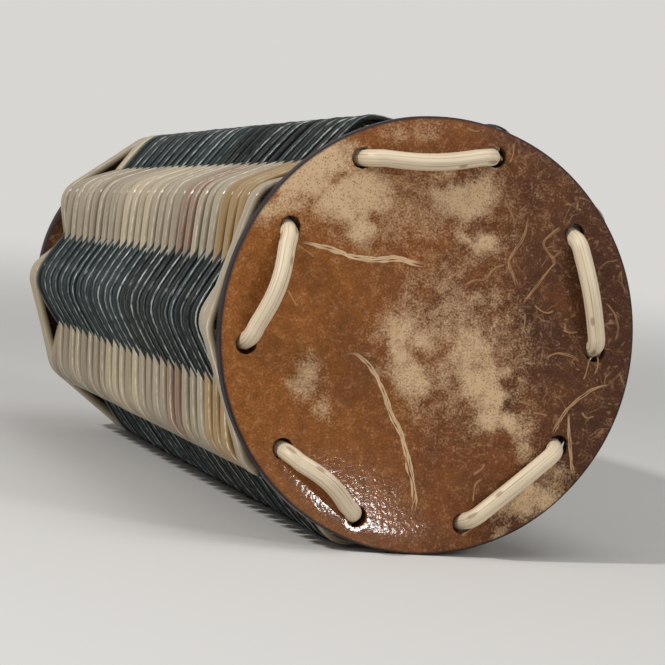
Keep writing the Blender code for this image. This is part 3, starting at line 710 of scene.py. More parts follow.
    # Sanding scratches 0.2 mm apart and some 7 mm long, in two crossing strokes, and lumps of 0.7 mm
    strokes = 0.0
    for turn in (62.0, -20.0):
        stroke = add_node(tree, "ShaderNodeMapping", {
            "Vector": grown, "Rotation": (0.0, 0.0, math.radians(turn)), "Scale": (7.0, 0.2, 1.0)},
            vector_type='TEXTURE')
        scratch = add_node(tree, "ShaderNodeTexNoise", {
            "Vector": stroke.outputs[0], "Scale": 1.0, "Detail": 2.0})
        strokes = add_node(tree, "ShaderNodeMath", {
            0: scratch.outputs[0], 1: strokes}, operation='ADD').outputs[0]
    uneven = add_node(tree, "ShaderNodeTexNoise", {"Vector": grown, "Scale": 1 / 0.7, "Detail": 3.0})
    height = add_node(tree, "ShaderNodeMath", {
        0: uneven.outputs[0], 1: 1.4, 2: strokes}, operation='MULTIPLY_ADD')
    relief = add_node(tree, "ShaderNodeBump", {
        "Height": height.outputs[0], "Strength": 0.3, "Distance": 0.05 * MM})
    tree.links.new(relief.outputs[0], shader.inputs["Normal"])

    # Lacquer that pooled towards one side of the rim, where its surface leans
    x, y, length, width, turn, lean = pool
    spot = add_node(tree, "ShaderNodeMapping", {
        "Vector": face_mm, "Location": (x, y, 0.0), "Rotation": (0.0, 0.0, math.radians(turn)),
        "Scale": (length, width, 1.0)}, vector_type='TEXTURE')
    reach = add_node(tree, "ShaderNodeVectorMath", {0: spot.outputs[0]}, operation='LENGTH')
    wet = add_node(tree, "ShaderNodeMapRange", {
        "Value": reach.outputs["Value"], "From Min": 1.7, "From Max": 0.2, "To Min": 0.02, "To Max": 0.85},
        interpolation_type='SMOOTHSTEP')
    glint = add_node(tree, "ShaderNodeMapRange", {
        "Value": strokes, "From Min": 0.9, "From Max": 1.1, "To Min": 0.4, "To Max": 1.0})
    wet = add_node(tree, "ShaderNodeMath", {0: wet.outputs[0], 1: glint.outputs[0]}, operation='MULTIPLY')
    tree.links.new(wet.outputs[0], shader.inputs["Coat Weight"])
    facing = add_node(tree, "ShaderNodeNewGeometry").outputs["Normal"]
    leaning = add_node(tree, "ShaderNodeVectorMath", {
        0: facing, 1: (0.0, 0.0, math.tan(lean))}, operation='ADD')
    leaning = add_node(tree, "ShaderNodeVectorMath", {0: leaning.outputs[0]}, operation='NORMALIZE')
    # The lacquer's lumps are 0.8 mm wide, as coarse as they need to be to sparkle one by one
    lumps = add_node(tree, "ShaderNodeTexNoise", {"Vector": grown, "Scale": 1 / 0.8, "Detail": 1.0})
    pooled = add_node(tree, "ShaderNodeBump", {
        "Height": lumps.outputs[0], "Strength": 0.55, "Distance": 0.03 * MM, "Normal": leaning.outputs[0]})
    tree.links.new(pooled.outputs[0], shader.inputs["Coat Normal"])
    shader.inputs["Coat Roughness"].default_value = 0.08
    return material


def fibre_material():
    """Dried husk fibre, left in the shell under the lacquer: tan, streaked along its length."""
    material, tree, shader = new_material("lacquered_husk_fibre", 0.5, 1.5)
    shader.inputs["Specular IOR Level"].default_value = 0.1
    place_mm = add_node(tree, "ShaderNodeUVMap", uv_map="along_mm").outputs["UV"]
    # Strands 0.15 mm wide that run on for 4 mm
    strands = add_node(tree, "ShaderNodeMapping", {"Vector": place_mm, "Scale": (1 / 4, 1 / 0.15, 1.0)})
    strand = add_node(tree, "ShaderNodeTexNoise", {
        "Vector": strands.outputs[0], "Scale": 1.0, "Detail": 3.0})
    light = add_node(tree, "ShaderNodeMapRange", {
        "Value": strand.outputs[0], "From Min": 0.35, "From Max": 0.65, "To Min": 0.75, "To Max": 1.2})
    bundle = add_node(tree, "ShaderNodeVertexColor", layer_name="fibre_colour").outputs["Color"]
    tone = add_node(tree, "ShaderNodeVectorMath", {
        0: bundle, "Scale": light.outputs[0]}, operation='SCALE')
    tree.links.new(tone.outputs[0], shader.inputs["Base Color"])
    return material


def seed_material(colours):
    """Dry hard seed: smooth, dull gloss, with dark streaks from end to end."""
    material, tree, shader = new_material("dry_hard_seed", 0.4, 1.5)
    place_mm = add_node(tree, "ShaderNodeUVMap", uv_map="along_mm").outputs["UV"]
    # Streaks 0.8 mm wide that run on for 5 mm
    streaks = add_node(tree, "ShaderNodeMapping", {"Vector": place_mm, "Scale": (1 / 5, 1 / 0.8, 1.0)})
    streak = add_node(tree, "ShaderNodeTexNoise", {
        "Vector": streaks.outputs[0], "Scale": 1.0, "Detail": 4.0})
    dark = add_node(tree, "ShaderNodeMapRange", {
        "Value": streak.outputs[0], "From Min": 0.45, "From Max": 0.65})
    tone = add_node(tree, "ShaderNodeMix", {
        FACTOR: dark.outputs[0], FIRST: solid(colours.seed), SECOND: solid(colours.seed_streak)},
        data_type='RGBA')
    tree.links.new(tone.outputs[MIXED], shader.inputs["Base Color"])
    relief = add_node(tree, "ShaderNodeBump", {
        "Height": streak.outputs[0], "Strength": 0.3, "Distance": 0.1 * MM})
    tree.links.new(relief.outputs[0], shader.inputs["Normal"])
    return material


# Shell discs

DISC_SIDES = 160
DISC_RINGS = 10
EDGE_STEPS = 5
HOLE_SIDES = 36
HOLE_FLARE = 0.12 * MM
HOLE_BACK = 0.45 * MM
HOLE_PULL = 0.3 * MM
RIM_WAVER = 0.10 * MM
RIM_WAVER_RATE = 2.5
RIM_WAVER_POWER = 8
SHARP_EDGE = math.radians(32)

# Shares below are of a fibre's width, and a fibre's strength is how pale it is
FIBRE_STEPS = 8
FIBRE_SIDES = 6
FIBRE_STRANDS = 3
FIBRE_HALF = 0.3
FIBRE_LEAST_HALF = 0.02 * MM
FIBRE_SPREAD = 0.42
FIBRE_STRAY = 0.7
FIBRE_STRAY_RATE = 0.4
FIBRE_STRAY_PLACE = Vector((9.0, 0.0, 0.0))
FIBRE_TAPER = 8
FIBRE_EDGE_FADE = 1.5
RAGGED_RUN = 1.6 * MM
RAGGED_STRAND_STEP = 5.0
RAGGED_LEAST = 0.1
RAGGED_MIDDLE = 0.7
RAGGED_SWING = 0.9
FAINTEST_FIBRE = 0.68
FAINT_WIDTH_MM = 0.1
WIDTH_TO_STRONG_MM = 0.6


def pulled_holes(hole, first_stake):
    """Middles of a disc's holes, which the stitch between two of them wore a little further apart."""
    middles = []
    for stake in range(first_stake, first_stake + STAKE_COUNT, 2):
        first, second = round_axis(*hole(stake), 0.0), round_axis(*hole(stake + 1), 0.0)
        pull = (second - first).normalized() * HOLE_PULL
        middles += [first - pull, second + pull]
    return middles


def shell_mesh(name, radius, holes, sizes, laid):
    """A disc turned from its half section and drilled, with its face at z 0. Its map is the face in mm."""
    edge = sizes.disc_edge
    section = [(radius - edge) * ring / DISC_RINGS for ring in range(1, DISC_RINGS + 1)]
    turns = [math.pi / 2 * step / EDGE_STEPS for step in range(EDGE_STEPS + 1)]
    front = [(across, 0.0) for across in section[:-1]]
    front += [(radius - edge + edge * math.sin(turn), edge - edge * math.cos(turn)) for turn in turns]
    profile = front + [(across, DISC_THICKNESS - up) for across, up in reversed(front)]
    form = bmesh.new()
    rings = []
    for across, up in profile:
        ring = []
        for side in range(DISC_SIDES):
            angle = math.tau * side / DISC_SIDES
            spot = Vector((math.cos(angle), math.sin(angle), 0.0))
            waver = RIM_WAVER * noise.noise(spot * RIM_WAVER_RATE) * (across / radius) ** RIM_WAVER_POWER
            ring.append(form.verts.new(spot * (across + waver) + Vector((0.0, 0.0, up))))
        rings.append(ring)
    for inner, outer in zip(rings, rings[1:]):
        for side in range(DISC_SIDES):
            beside = (side + 1) % DISC_SIDES
            form.faces.new((inner[side], inner[beside], outer[beside], outer[side]))
    form.faces.new(rings[0])
    form.faces.new(reversed(rings[-1]))
    bmesh.ops.recalc_face_normals(form, faces=form.faces)
    blank = bpy.data.meshes.new(name)
    form.to_mesh(blank)
    form.free()

    drill = bmesh.new()
    drill_radius = sizes.cane_radius + sizes.hole_clearance
    heights = (-DISC_THICKNESS, 0.0, HOLE_FLARE, DISC_THICKNESS, 2 * DISC_THICKNESS)
    flares = (HOLE_FLARE, HOLE_FLARE, 0.0, HOLE_BACK, HOLE_BACK)
    for middle in holes:
        circles = []
        for height, flare in zip(heights, flares):
            wide = drill_radius + flare
            turns = [math.tau * side / HOLE_SIDES for side in range(HOLE_SIDES)]
            circles.append([drill.verts.new(
                middle + Vector((wide * math.cos(turn), wide * math.sin(turn), height))) for turn in turns])
        for lower, upper in zip(circles, circles[1:]):
            for side in range(HOLE_SIDES):
                beside = (side + 1) % HOLE_SIDES
                drill.faces.new((lower[side], lower[beside], upper[beside], upper[side]))
        drill.faces.new(reversed(circles[0]))
        drill.faces.new(circles[-1])
    bmesh.ops.recalc_face_normals(drill, faces=drill.faces)
    bits = bpy.data.meshes.new(name + "_drill")
    drill.to_mesh(bits)
    drill.free()

    disc = bpy.data.objects.new(name, blank)
    cutter = bpy.data.objects.new(name + "_drill", bits)
    for helper in (disc, cutter):
        bpy.context.scene.collection.objects.link(helper)
    cut = disc.modifiers.new("holes", 'BOOLEAN')
    cut.operation = 'DIFFERENCE'
    cut.object = cutter
    bpy.context.view_layer.update()
    drilled = bpy.data.meshes.new_from_object(disc.evaluated_get(bpy.context.evaluated_depsgraph_get()))
    for helper in (disc, cutter):
        bpy.data.objects.remove(helper)
    layer = drilled.uv_layers.new(name="face_mm")
    for loop in drilled.loops:
        spot = drilled.vertices[loop.vertex_index].co
        layer.data[loop.index].uv = (spot.x / MM, spot.y / MM)
    drilled.transform(laid)
    drilled.shade_smooth()
    drilled.set_sharp_from_angle(angle=SHARP_EDGE)
    drilled.name = name
    return drilled


def shell_brown(x, colours):
    """The shell's own brown at a place across its face."""
    depth = (x / MM - WARM_SIDE_MM) / (DARK_SIDE_MM - WARM_SIDE_MM)
    warm = min(1.0, max(0.0, depth / WARM_END))
    dark = min(1.0, max(0.0, (depth - DARK_START) / (DARK_END - DARK_START)))
    brown = Vector(colours.shell_left).lerp(Vector(colours.shell_middle), warm)
    return brown.lerp(Vector(colours.shell_right), dark)


def fibre_mesh(name, fibres, sizes, colours, laid):
    """Fibres along the shell's face, thin at both ends, as one mesh: each is a bundle of flat strands
    that take on the shell's own brown towards their edges."""
    form = bmesh.new()
    layer = form.loops.layers.uv.new("along_mm")
    tint = form.verts.layers.float_color.new("fibre_colour")
    for width_mm, spots in fibres:
        line = smooth_line([Vector((x * MM, y * MM, 0.0)) for x, y in spots], FIBRE_STEPS)
        lengths = distances(line)
        strength = min(1.0, max(FAINTEST_FIBRE, (width_mm - FAINT_WIDTH_MM) / WIDTH_TO_STRONG_MM))
        paleness = (strength - FAINTEST_FIBRE) / (1 - FAINTEST_FIBRE)
        pale = Vector(colours.shell_vein).lerp(Vector(colours.shell_patch), paleness)
        for strand in range(FIBRE_STRANDS):
            off = (strand - (FIBRE_STRANDS - 1) / 2) * FIBRE_SPREAD
            courses = []
            for point, run, length in zip(line, directions(line), lengths):
                share = length / lengths[-1]
                ends = min(1.0, FIBRE_TAPER * share, FIBRE_TAPER * (1 - share))
                along = Vector((length / RAGGED_RUN, RAGGED_STRAND_STEP * strand, width_mm))
                ragged = max(RAGGED_LEAST, RAGGED_MIDDLE + RAGGED_SWING * noise.noise(along))
                half = width_mm * MM * FIBRE_HALF * ragged * ends + FIBRE_LEAST_HALF
                beside = Vector((-run.y, run.x, 0.0))
                stray = off + FIBRE_STRAY * noise.noise(along * FIBRE_STRAY_RATE + FIBRE_STRAY_PLACE)
                middle = point + beside * width_mm * MM * stray
                brown = shell_brown(middle.x, colours)
                course = []
                for step in range(FIBRE_SIDES + 1):
                    turn = math.pi * step / FIBRE_SIDES
                    lift = Vector((0.0, 0.0, -sizes.fibre_height * math.sin(turn)))
                    corner = form.verts.new(laid @ (middle + beside * half * math.cos(turn) + lift))
                    cover = strength * ends * min(1.0, FIBRE_EDGE_FADE * math.sin(turn))
                    corner[tint] = solid(brown.lerp(pale, cover))
                    course.append((corner, length / MM, half / MM * (1 + math.cos(turn)) + strand))
                courses.append(course)
            for course, following in zip(courses, courses[1:]):
                for first, second, third, fourth in zip(course, course[1:], following[1:], following):
                    corners = (first, second, third, fourth)
                    face = form.faces.new([corner[0] for corner in corners])
                    for loop, corner in zip(face.loops, corners):
                        loop[layer].uv = corner[1:]
    bmesh.ops.recalc_face_normals(form, faces=form.faces)
    mesh = bpy.data.meshes.new(name)
    form.to_mesh(mesh)
    form.free()
    mesh.shade_smooth()
    return mesh


class SHAKER_OT_discs(bpy.types.Operator):
    """Adds the two lacquered shell discs and the fibres in their faces"""
    bl_idname = "shaker.add_discs"
    bl_label = "Add shell discs"

    def execute(self, context):
        sizes, colours = context.scene.shaker_sizes, context.scene.shaker_colours
        turned = LAID @ Matrix.Translation((0.0, 0.0, BODY_LENGTH)) @ Matrix.Rotation(math.pi, 4, 'Y')
        fibre = fibre_material()
        near_holes = pulled_holes(near_hole, 1)
        far_holes = pulled_holes(far_hole, 0)
        ends = (
            ("near", NEAR_DISC_RADIUS, near_holes, LAID, NEAR_PATCHES, NEAR_POOL, NEAR_FIBRES, 0.0),
            ("far", FAR_DISC_RADIUS, far_holes, turned, FAR_PATCHES, FAR_POOL, FAR_FIBRES, 57.0),
        )
        for end, radius, holes, laid, patches, pool, fibres, shift in ends:
            finish = shell_material(f"lacquered_{end}_shell", colours, radius, patches, pool, shift)
            mesh = shell_mesh(f"{end}_shell_face", radius, holes, sizes, laid)
            place(f"{end}_shell_face", mesh, finish, BODY, f"{end}_shell_disc", f"{end}_shell")
            strands = fibre_mesh(f"{end}_shell_fibres", fibres, sizes, colours, laid)
            place(f"{end}_shell_fibres", strands, fibre, BODY, None, f"{end}_shell")
        return {'FINISHED'}


# Stitching canes

CANE_SIDES = 32
CANE_STEPS = 3
GROOVE_COUNT = 9.0
GROOVE_RATE = 2.2
GROOVE_RUN = 40 * MM
GROOVE_CANE_STEP = 7.3
CANE_SWELL = 0.02
CANE_SWELL_RUN = 11 * MM
CANE_SWELL_STEP = 3.1
CANE_LIFT = 1.6 * MM
STITCH_PULL = 0.6 * MM


def stitch_points(first_hole, second_hole, face, outward, air, bow):
    """A stitch from hole to hole, arched off the face."""
    start = round_axis(*first_hole, face)
    finish = round_axis(*second_hole, face)
    along = (finish - start).normalized()
    start += along * STITCH_PULL
    finish -= along * STITCH_PULL
    inward = -(start + finish).xy.normalized().to_3d()
    lift = Vector((0.0, 0.0, outward))
    shoulder = CANE_LIFT + STITCH_END_AIR
    bend = []
    for step in range(STITCH_BEND_STEPS + 1):
        turn = math.pi / 2 * step / STITCH_BEND_STEPS
        bend.append((STITCH_BEND * (1 - math.cos(turn)), shoulder + STITCH_BEND * (math.sin(turn) - 1)))
    rising = [start + along * run + lift * height for run, height in bend]
    falling = [finish - along * run + lift * height for run, height in reversed(bend)]
    arch = []
    for step in range(1, STITCH_ARCH_STEPS):
        share = step / STITCH_ARCH_STEPS
        swell = math.sin(math.pi * share)
        straight = rising[-1].lerp(falling[0], share)
        arch.append(straight + (lift * (air - STITCH_END_AIR) + inward * bow) * swell)
    return rising + arch + falling


def shoulder_heights():
    """Heights where a stake bends on its way out of its near hole."""
    turns = [math.sin(math.pi / 2 * step / SHOULDER_BENDS) / 2 for step in range(SHOULDER_BENDS + 1)]
    shares = turns + [1 - share for share in reversed(turns[:-1])]
    return [DISC_THICKNESS - SHOULDER_SINK + SHOULDER * share for share in shares]


def cane_line(number):
    """A cane from its trimmed end, over the near disc, along the wall and over the far disc."""
    odd_stake, even_stake, next_stake = 2 * number - 1, 2 * number, 2 * number + 1
    near_heights = shoulder_heights()
    far_heights = [BODY_LENGTH - height for height in reversed(near_heights)]
    tail_end = far_heights[0] - TUCKED_TAIL
    corners = [stake_point(odd_stake, tail_end - BUTT_GAP)]
    corners += [stake_point(odd_stake, height) for height in reversed(near_heights)]
    air, bow = NEAR_STITCH_AIR_MM[number] * MM, NEAR_STITCH_BOW_MM[number] * MM
    corners += stitch_points(near_hole(odd_stake), near_hole(even_stake), 0.0, -1.0, air, bow)
    corners += [stake_point(even_stake, height) for height in near_heights + far_heights]
    far_holes = far_hole(even_stake), far_hole(next_stake)
    corners += stitch_points(*far_holes, BODY_LENGTH, 1.0, FAR_STITCH_AIR, 0.0)
    corners += [stake_point(next_stake, height) for height in reversed(far_heights)]
    corners.append(stake_point(next_stake, tail_end))
    return smooth_line(corners, CANE_STEPS)


def cane_mesh(name, number, sizes):
    """A round cane with shallow grooves along it."""
    line = cane_line(number)
    lengths = distances(line)
    groove_circle = GROOVE_COUNT / math.tau
    rings = []
    across = line[0].xy.normalized().to_3d()
    for point, run, length in zip(line, directions(line), lengths):
        across = (across - run * across.dot(run)).normalized()
        beside = run.cross(across)
        along = Vector((0.0, 0.0, length / GROOVE_RUN + GROOVE_CANE_STEP * number))
        swell = CANE_SWELL * noise.noise(Vector((length / CANE_SWELL_RUN, CANE_SWELL_STEP * number, 0.0)))
        ring = []
        for side in range(CANE_SIDES):
            turn = math.tau * side / CANE_SIDES
            spot = Vector((groove_circle * math.cos(turn), groove_circle * math.sin(turn), 0.0))
            lane = noise.noise(spot * GROOVE_RATE + along)
            reach = sizes.cane_radius * (1 + swell) - sizes.cane_groove * max(0.0, lane) * 2
            ring.append(point + across * reach * math.cos(turn) + beside * reach * math.sin(turn))
        rings.append(ring)
    return skin(name, rings, lengths, math.tau * sizes.cane_radius)


class SHAKER_OT_canes(bpy.types.Operator):
    """Adds the five canes that stitch the discs on and stand in the wall"""
    bl_idname = "shaker.add_canes"
    bl_label = "Add stitching canes"

    def execute(self, context):
        sizes, colours = context.scene.shaker_sizes, context.scene.shaker_colours
        finish = cane_material(colours)
        for number, node in enumerate(CANES):
            name = node.replace("cane_", "") + "_stitching_cane"
            place(name, cane_mesh(name, number, sizes), finish, BODY, node, "cane")
        return {'FINISHED'}


# Woven wall

REED_SIDES = 18
REED_STEPS = 4
REED_SAMPLES = 12
REED_CORNER = 0.62
LOBE_RUN = 3.4 * MM
UNDER_RUN = 3.0 * MM
ROW_SAG = 0.2 * MM
ROW_SWELL = 0.3
END_SWELL = 0.55
END_RUN = 5.0 * MM
END_PRESS = 2.2 * MM
END_PRESS_PASSES = 8
END_PRESS_RUN = 3
DISC_AIR = 0.1 * MM
# Fixed, so that every run weaves the same wall
WANDER_SEED = 5
WANDER_RATE = 0.83
WINDING_STEP = 11.0
LOBE_SHARE = 0.3
REED_LEAN = 0.16
REED_LEAN_RUN = 60 * MM
REED_FULLNESS = 0.05
REED_FULLNESS_RUN = 45 * MM
TONE_SWING = 0.14
TONE_RATE = 2.3


def row_offsets(stake, z, sizes):
    """How far outside and inside a stake's centre a row of reed runs clear of the cane."""
    angle, radius = stake_at(stake, z)
    half_width = sizes.reed_width / 2
    outside = inside = 0.0
    for sample in range(REED_SAMPLES + 1):
        height = (half_width + sizes.cane_radius) * (2 * sample / REED_SAMPLES - 1)
        beyond = max(abs(height) - half_width, 0.0)
        girth = math.sqrt(max(sizes.cane_radius ** 2 - beyond ** 2, 0.0))
        here_angle, here_radius = stake_at(stake, z + height)
        rise = here_radius - radius
        shift = abs(here_angle - angle) * radius * math.sin(LOBE_SLOPE)
        outside = max(outside, rise * math.cos(LOBE_SLOPE) + shift + girth)
        inside = max(inside, girth - rise + shift)
    spare = (FIT_GAP + sizes.reed_thickness) / 2
    return outside + spare, inside + spare


def row_height(number):
    """Height of a pass. The last passes are pressed on towards the far disc."""
    pressed = END_PRESS * min(max((number - PASSES + END_PRESS_PASSES) / END_PRESS_RUN, 0.0), 1.0)
    height = FIRST_ROW + PITCH * number / STAKE_COUNT + pressed
    return min(height, BODY_LENGTH - FIRST_ROW + DISC_AIR)


def weaver_corners(start_stake, outside_stakes, first_pass, last_pass, wraps, sizes, seed):
    """Corners of a weaver that runs over one stake and under the next, with the pass that each is in.
    Beside the discs it may wrap a stake that it would run under."""
    corners = []
    passes = []
    for number in range(first_pass, last_pass + 1):
        stake = (start_stake - number) % STAKE_COUNT
        stray = noise.noise_vector(Vector((number * WANDER_RATE, seed, 0.5))) * sizes.reed_wander
        z = row_height(number) + stray.z
        angle, radius = stake_at(stake, z)
        centre = round_axis(angle, radius, z)
        outward = round_axis(angle, 1.0, 0.0)
        along = Vector((math.cos(angle), -math.sin(angle), PITCH / (math.tau * radius)))
        outside, inside = row_offsets(stake, z, sizes)
        if stake % 2 == outside_stakes or number in wraps:
            full = stake_circle(z) - radius + sizes.cane_radius + (FIT_GAP + sizes.reed_thickness) / 2
            crown = (max(outside, full - ROW_SAG) + stray.x) / math.cos(LOBE_SLOPE)
            side = crown - LOBE_RUN * math.tan(LOBE_SLOPE)
            corners += [centre + outward * side - along * LOBE_RUN, centre + outward * crown,
                        centre + outward * side + along * LOBE_RUN]
        else:
            corners += [centre - outward * inside - along * UNDER_RUN, centre - outward * inside,
                        centre - outward * inside + along * UNDER_RUN]
        passes += [number - LOBE_SHARE, number, number + LOBE_SHARE]
    ends = slice(1, -1)
    return corners[ends], passes[ends]


def reed_girth(sizes):
    return 2 * (sizes.reed_width + sizes.reed_thickness)


def splice_tone(turn, splices, colours, seed):
    """Colour of the reed at a turn, from the length that was spliced in there."""
    tone = [kind for start, kind in splices if start <= turn][-1]
    shade = 1.0 + TONE_SWING * noise.noise(Vector((turn * TONE_RATE, seed, 4.0)))
    return [share * shade for share in getattr(colours, tone)]


def reed_mesh(name, winding, splices, sizes, colours, seed):
    """A flat reed along a weaver's line, widest where it lies over a stake and beside the discs."""
    corners, passes = weaver_corners(*winding, sizes, seed)
    line = smooth_line(corners, REED_STEPS)
    held = [passes[0], *passes]
    turns = [held[index // REED_STEPS] / STAKE_COUNT for index in range(len(line) - 1)]
    turns.append(passes[-1] / STAKE_COUNT)
    lengths = distances(line)
    rings = []
    tones = []
    for point, run, length, turn in zip(line, directions(line), lengths, turns):
        outward = point.xy.normalized().to_3d()
        outward = (outward - run * outward.dot(run)).normalized()
        lean = REED_LEAN * noise.noise(Vector((length / REED_LEAN_RUN, seed, 1.5)))
        outward = Quaternion(run, lean) @ outward
        beside = run.cross(outward)
        fullness = 1.0 + REED_FULLNESS * noise.noise(Vector((length / REED_FULLNESS_RUN, seed, 9.5)))
        lifted = (point.xy.length - stake_circle(point.z)) / (sizes.cane_radius + sizes.reed_thickness / 2)
        from_disc = min(point.z, BODY_LENGTH - point.z) - FIRST_ROW
        beside_disc = max(0.0, 1 - from_disc / END_RUN)
        swell = ROW_SWELL + END_SWELL * min(beside_disc, 1.0)
        width = sizes.reed_width * (1 + swell * min(max(lifted, 0.0), 1.0))
        ring = []
        for side in range(REED_SIDES):
            angle = math.pi + math.tau * side / REED_SIDES
            thick = math.copysign(abs(math.cos(angle)) ** REED_CORNER, math.cos(angle))
            wide = math.copysign(abs(math.sin(angle)) ** REED_CORNER, math.sin(angle))
            spot = point + outward * thick * sizes.reed_thickness / 2 * fullness + beside * wide * width / 2
            spot.z = min(max(spot.z, DISC_THICKNESS + DISC_AIR), BODY_LENGTH - DISC_THICKNESS - DISC_AIR)
            ring.append(spot)
        rings.append(ring)
        tones.append(splice_tone(turn, splices, colours, seed))
    return skin(name, rings, lengths, reed_girth(sizes), tones)


class SHAKER_OT_wall(bpy.types.Operator):
    """Adds the weavers that chase each other round the stakes"""
    bl_idname = "shaker.add_wall"
    bl_label = "Add woven wall"

    def execute(self, context):
        sizes, colours = context.scene.shaker_sizes, context.scene.shaker_colours
        noise.seed_set(WANDER_SEED)
        girth_mm = reed_girth(sizes) / MM
        # Grime darkens each reed's sides with painted shade, and some grime, where rows meet
        natural = reed_material(
            "natural_rattan_reed", colours.worn_reed, fibre_share=0.2, edge_wear_and_glint_share=0.7, dark_wear=0.0,
            grime_and_crease_shade=0.45, knocked=0.12, coat=0.6, girth_mm=girth_mm)
        # The dyed reed's pale corners are partly painted glints
        dyed = reed_material(
            "dyed_rattan_reed", colours.dye_wear_and_glint, fibre_share=0.05, edge_wear_and_glint_share=0.7, dark_wear=1.0,
            grime_and_crease_shade=0.3, knocked=0.5, coat=0.24, girth_mm=girth_mm)
        dyed_start = NEAR_BORDER_PASSES
        dyed_end = PASSES - FAR_BORDER_PASSES
        dyed_side, natural_side = 0, 1
        dyed_tuck = 9
        natural_tuck = dyed_tuck + STAKE_COUNT // 2
        windings = (
            ("near_border", (dyed_tuck, dyed_side, 0, dyed_start, ()),
             BORDER_SPLICES, natural, "natural_reed"),
            ("dyed", (dyed_tuck, dyed_side, dyed_start, dyed_end, ()),
             DYED_SPLICES, dyed, "dyed_reed"),
            ("far_border", (dyed_tuck, dyed_side, dyed_end, PASSES, FAR_BORDER_WRAPS),
             FAR_BORDER_SPLICES, natural, "natural_reed"),
            ("natural", (natural_tuck, natural_side, 0, PASSES, NATURAL_WRAPS),
             NATURAL_SPLICES, natural, "natural_reed"),
        )
        for number, (kind, winding, splices, finish, slot) in enumerate(windings):
            name = kind + "_reed_winding"
            mesh = reed_mesh(name, winding, splices, sizes, colours, WINDING_STEP * number)
            place(name, mesh, finish, BODY, kind + "_weaver", slot)
        return {'FINISHED'}


# Seeds

SEED_COUNT = 12
SEED_RINGS = 14
SEED_SIDES = 20
SEED_SEAM = 0.06
SEED_SEAM_WIDTH = 0.25
SEED_BLUNT = 0.9
SEED_GIRTH_SHARE = 0.96
SEED_LENGTH_SHARE = 0.94
SEED_LEAN = 0.2
SEED_LEAN_STEP = 2.4


def seed_mesh(name, node, seed):
    """A plump seed with a seam down one side, in the space of its node."""
    low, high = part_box(node)
    middle = (low + high) / 2
    half_length = (high.y - low.y) / 2
    half_girth = (high.z - low.z) / 2
    lean = Quaternion((0.0, 0.0, 1.0), SEED_LEAN * math.sin(seed * SEED_LEAN_STEP))
    rings = []
    lengths = []
    for step in range(1, SEED_RINGS):
        turn = math.pi * step / SEED_RINGS
        reach = math.sin(turn) ** SEED_BLUNT
        ring = []
        for side in range(SEED_SIDES):
            angle = math.tau * side / SEED_SIDES
            seam = 1 - SEED_SEAM * math.exp(-((angle - math.pi) / SEED_SEAM_WIDTH) ** 2)
            wide = half_girth * reach * seam * SEED_GIRTH_SHARE
            along = -half_length * SEED_LENGTH_SHARE * math.cos(turn)
            spot = Vector((wide * math.cos(angle), along, wide * math.sin(angle)))
            ring.append(LAID.inverted() @ (middle + lean @ spot))
        rings.append(ring)
        lengths.append(half_length * (1 - math.cos(turn)))
    return skin(name, rings, lengths, math.tau * half_girth)


class SHAKER_OT_seeds(bpy.types.Operator):
    """Adds the loose seeds inside the wall"""
    bl_idname = "shaker.add_seeds"
    bl_label = "Add seeds"

    def execute(self, context):
        finish = seed_material(context.scene.shaker_colours)
        for number in range(1, SEED_COUNT + 1):
            node = f"seed_{number:02d}"
            name = f"dry_seed_{number:02d}"
            place(name, seed_mesh(name, node, number), finish, node, node, "seed")
        return {'FINISHED'}


# Stage

FLOOR_SIDES = 96
FADE_START = 0.22
FADE_END = 0.7
OVERHEAD_SIZE = 0.6
OVERHEAD_PLACE = (0.12, -0.22, 0.75)
FRONT_SIZE = 0.3
FRONT_PLACE = (0.40, -0.85, 0.46)
CREST_SIZE = 0.05
CREST_PLACE = (-0.65, -0.24, 0.56)
GLOSS_SIZE = 0.03
GLOSS_DISTANCE = 0.6


def add_lamp(name, spot, aim, size, power):
    lamp = bpy.data.lights.new(name, 'AREA')
    lamp.shape = 'DISK'
    lamp.size = size
    lamp.energy = power
    holder = bpy.data.objects.new(name, lamp)
    holder.location = spot
    holder.rotation_mode = 'QUATERNION'
    holder.rotation_quaternion = (aim - spot).to_track_quat('-Z', 'Y')
    bpy.context.scene.collection.objects.link(holder)


def backdrop_rays(tree):
    """1 for the rays that see the backdrop: from the camera, mirrored or let through."""
    ray = add_node(tree, "ShaderNodeLightPath")
    shown = ray.outputs["Is Camera Ray"]
    for kind in ("Is Glossy Ray", "Is Transmission Ray"):
        shown = add_node(tree, "ShaderNodeMath", {
            0: shown, 1: ray.outputs[kind]}, operation='MAXIMUM').outputs[0]
    return shown


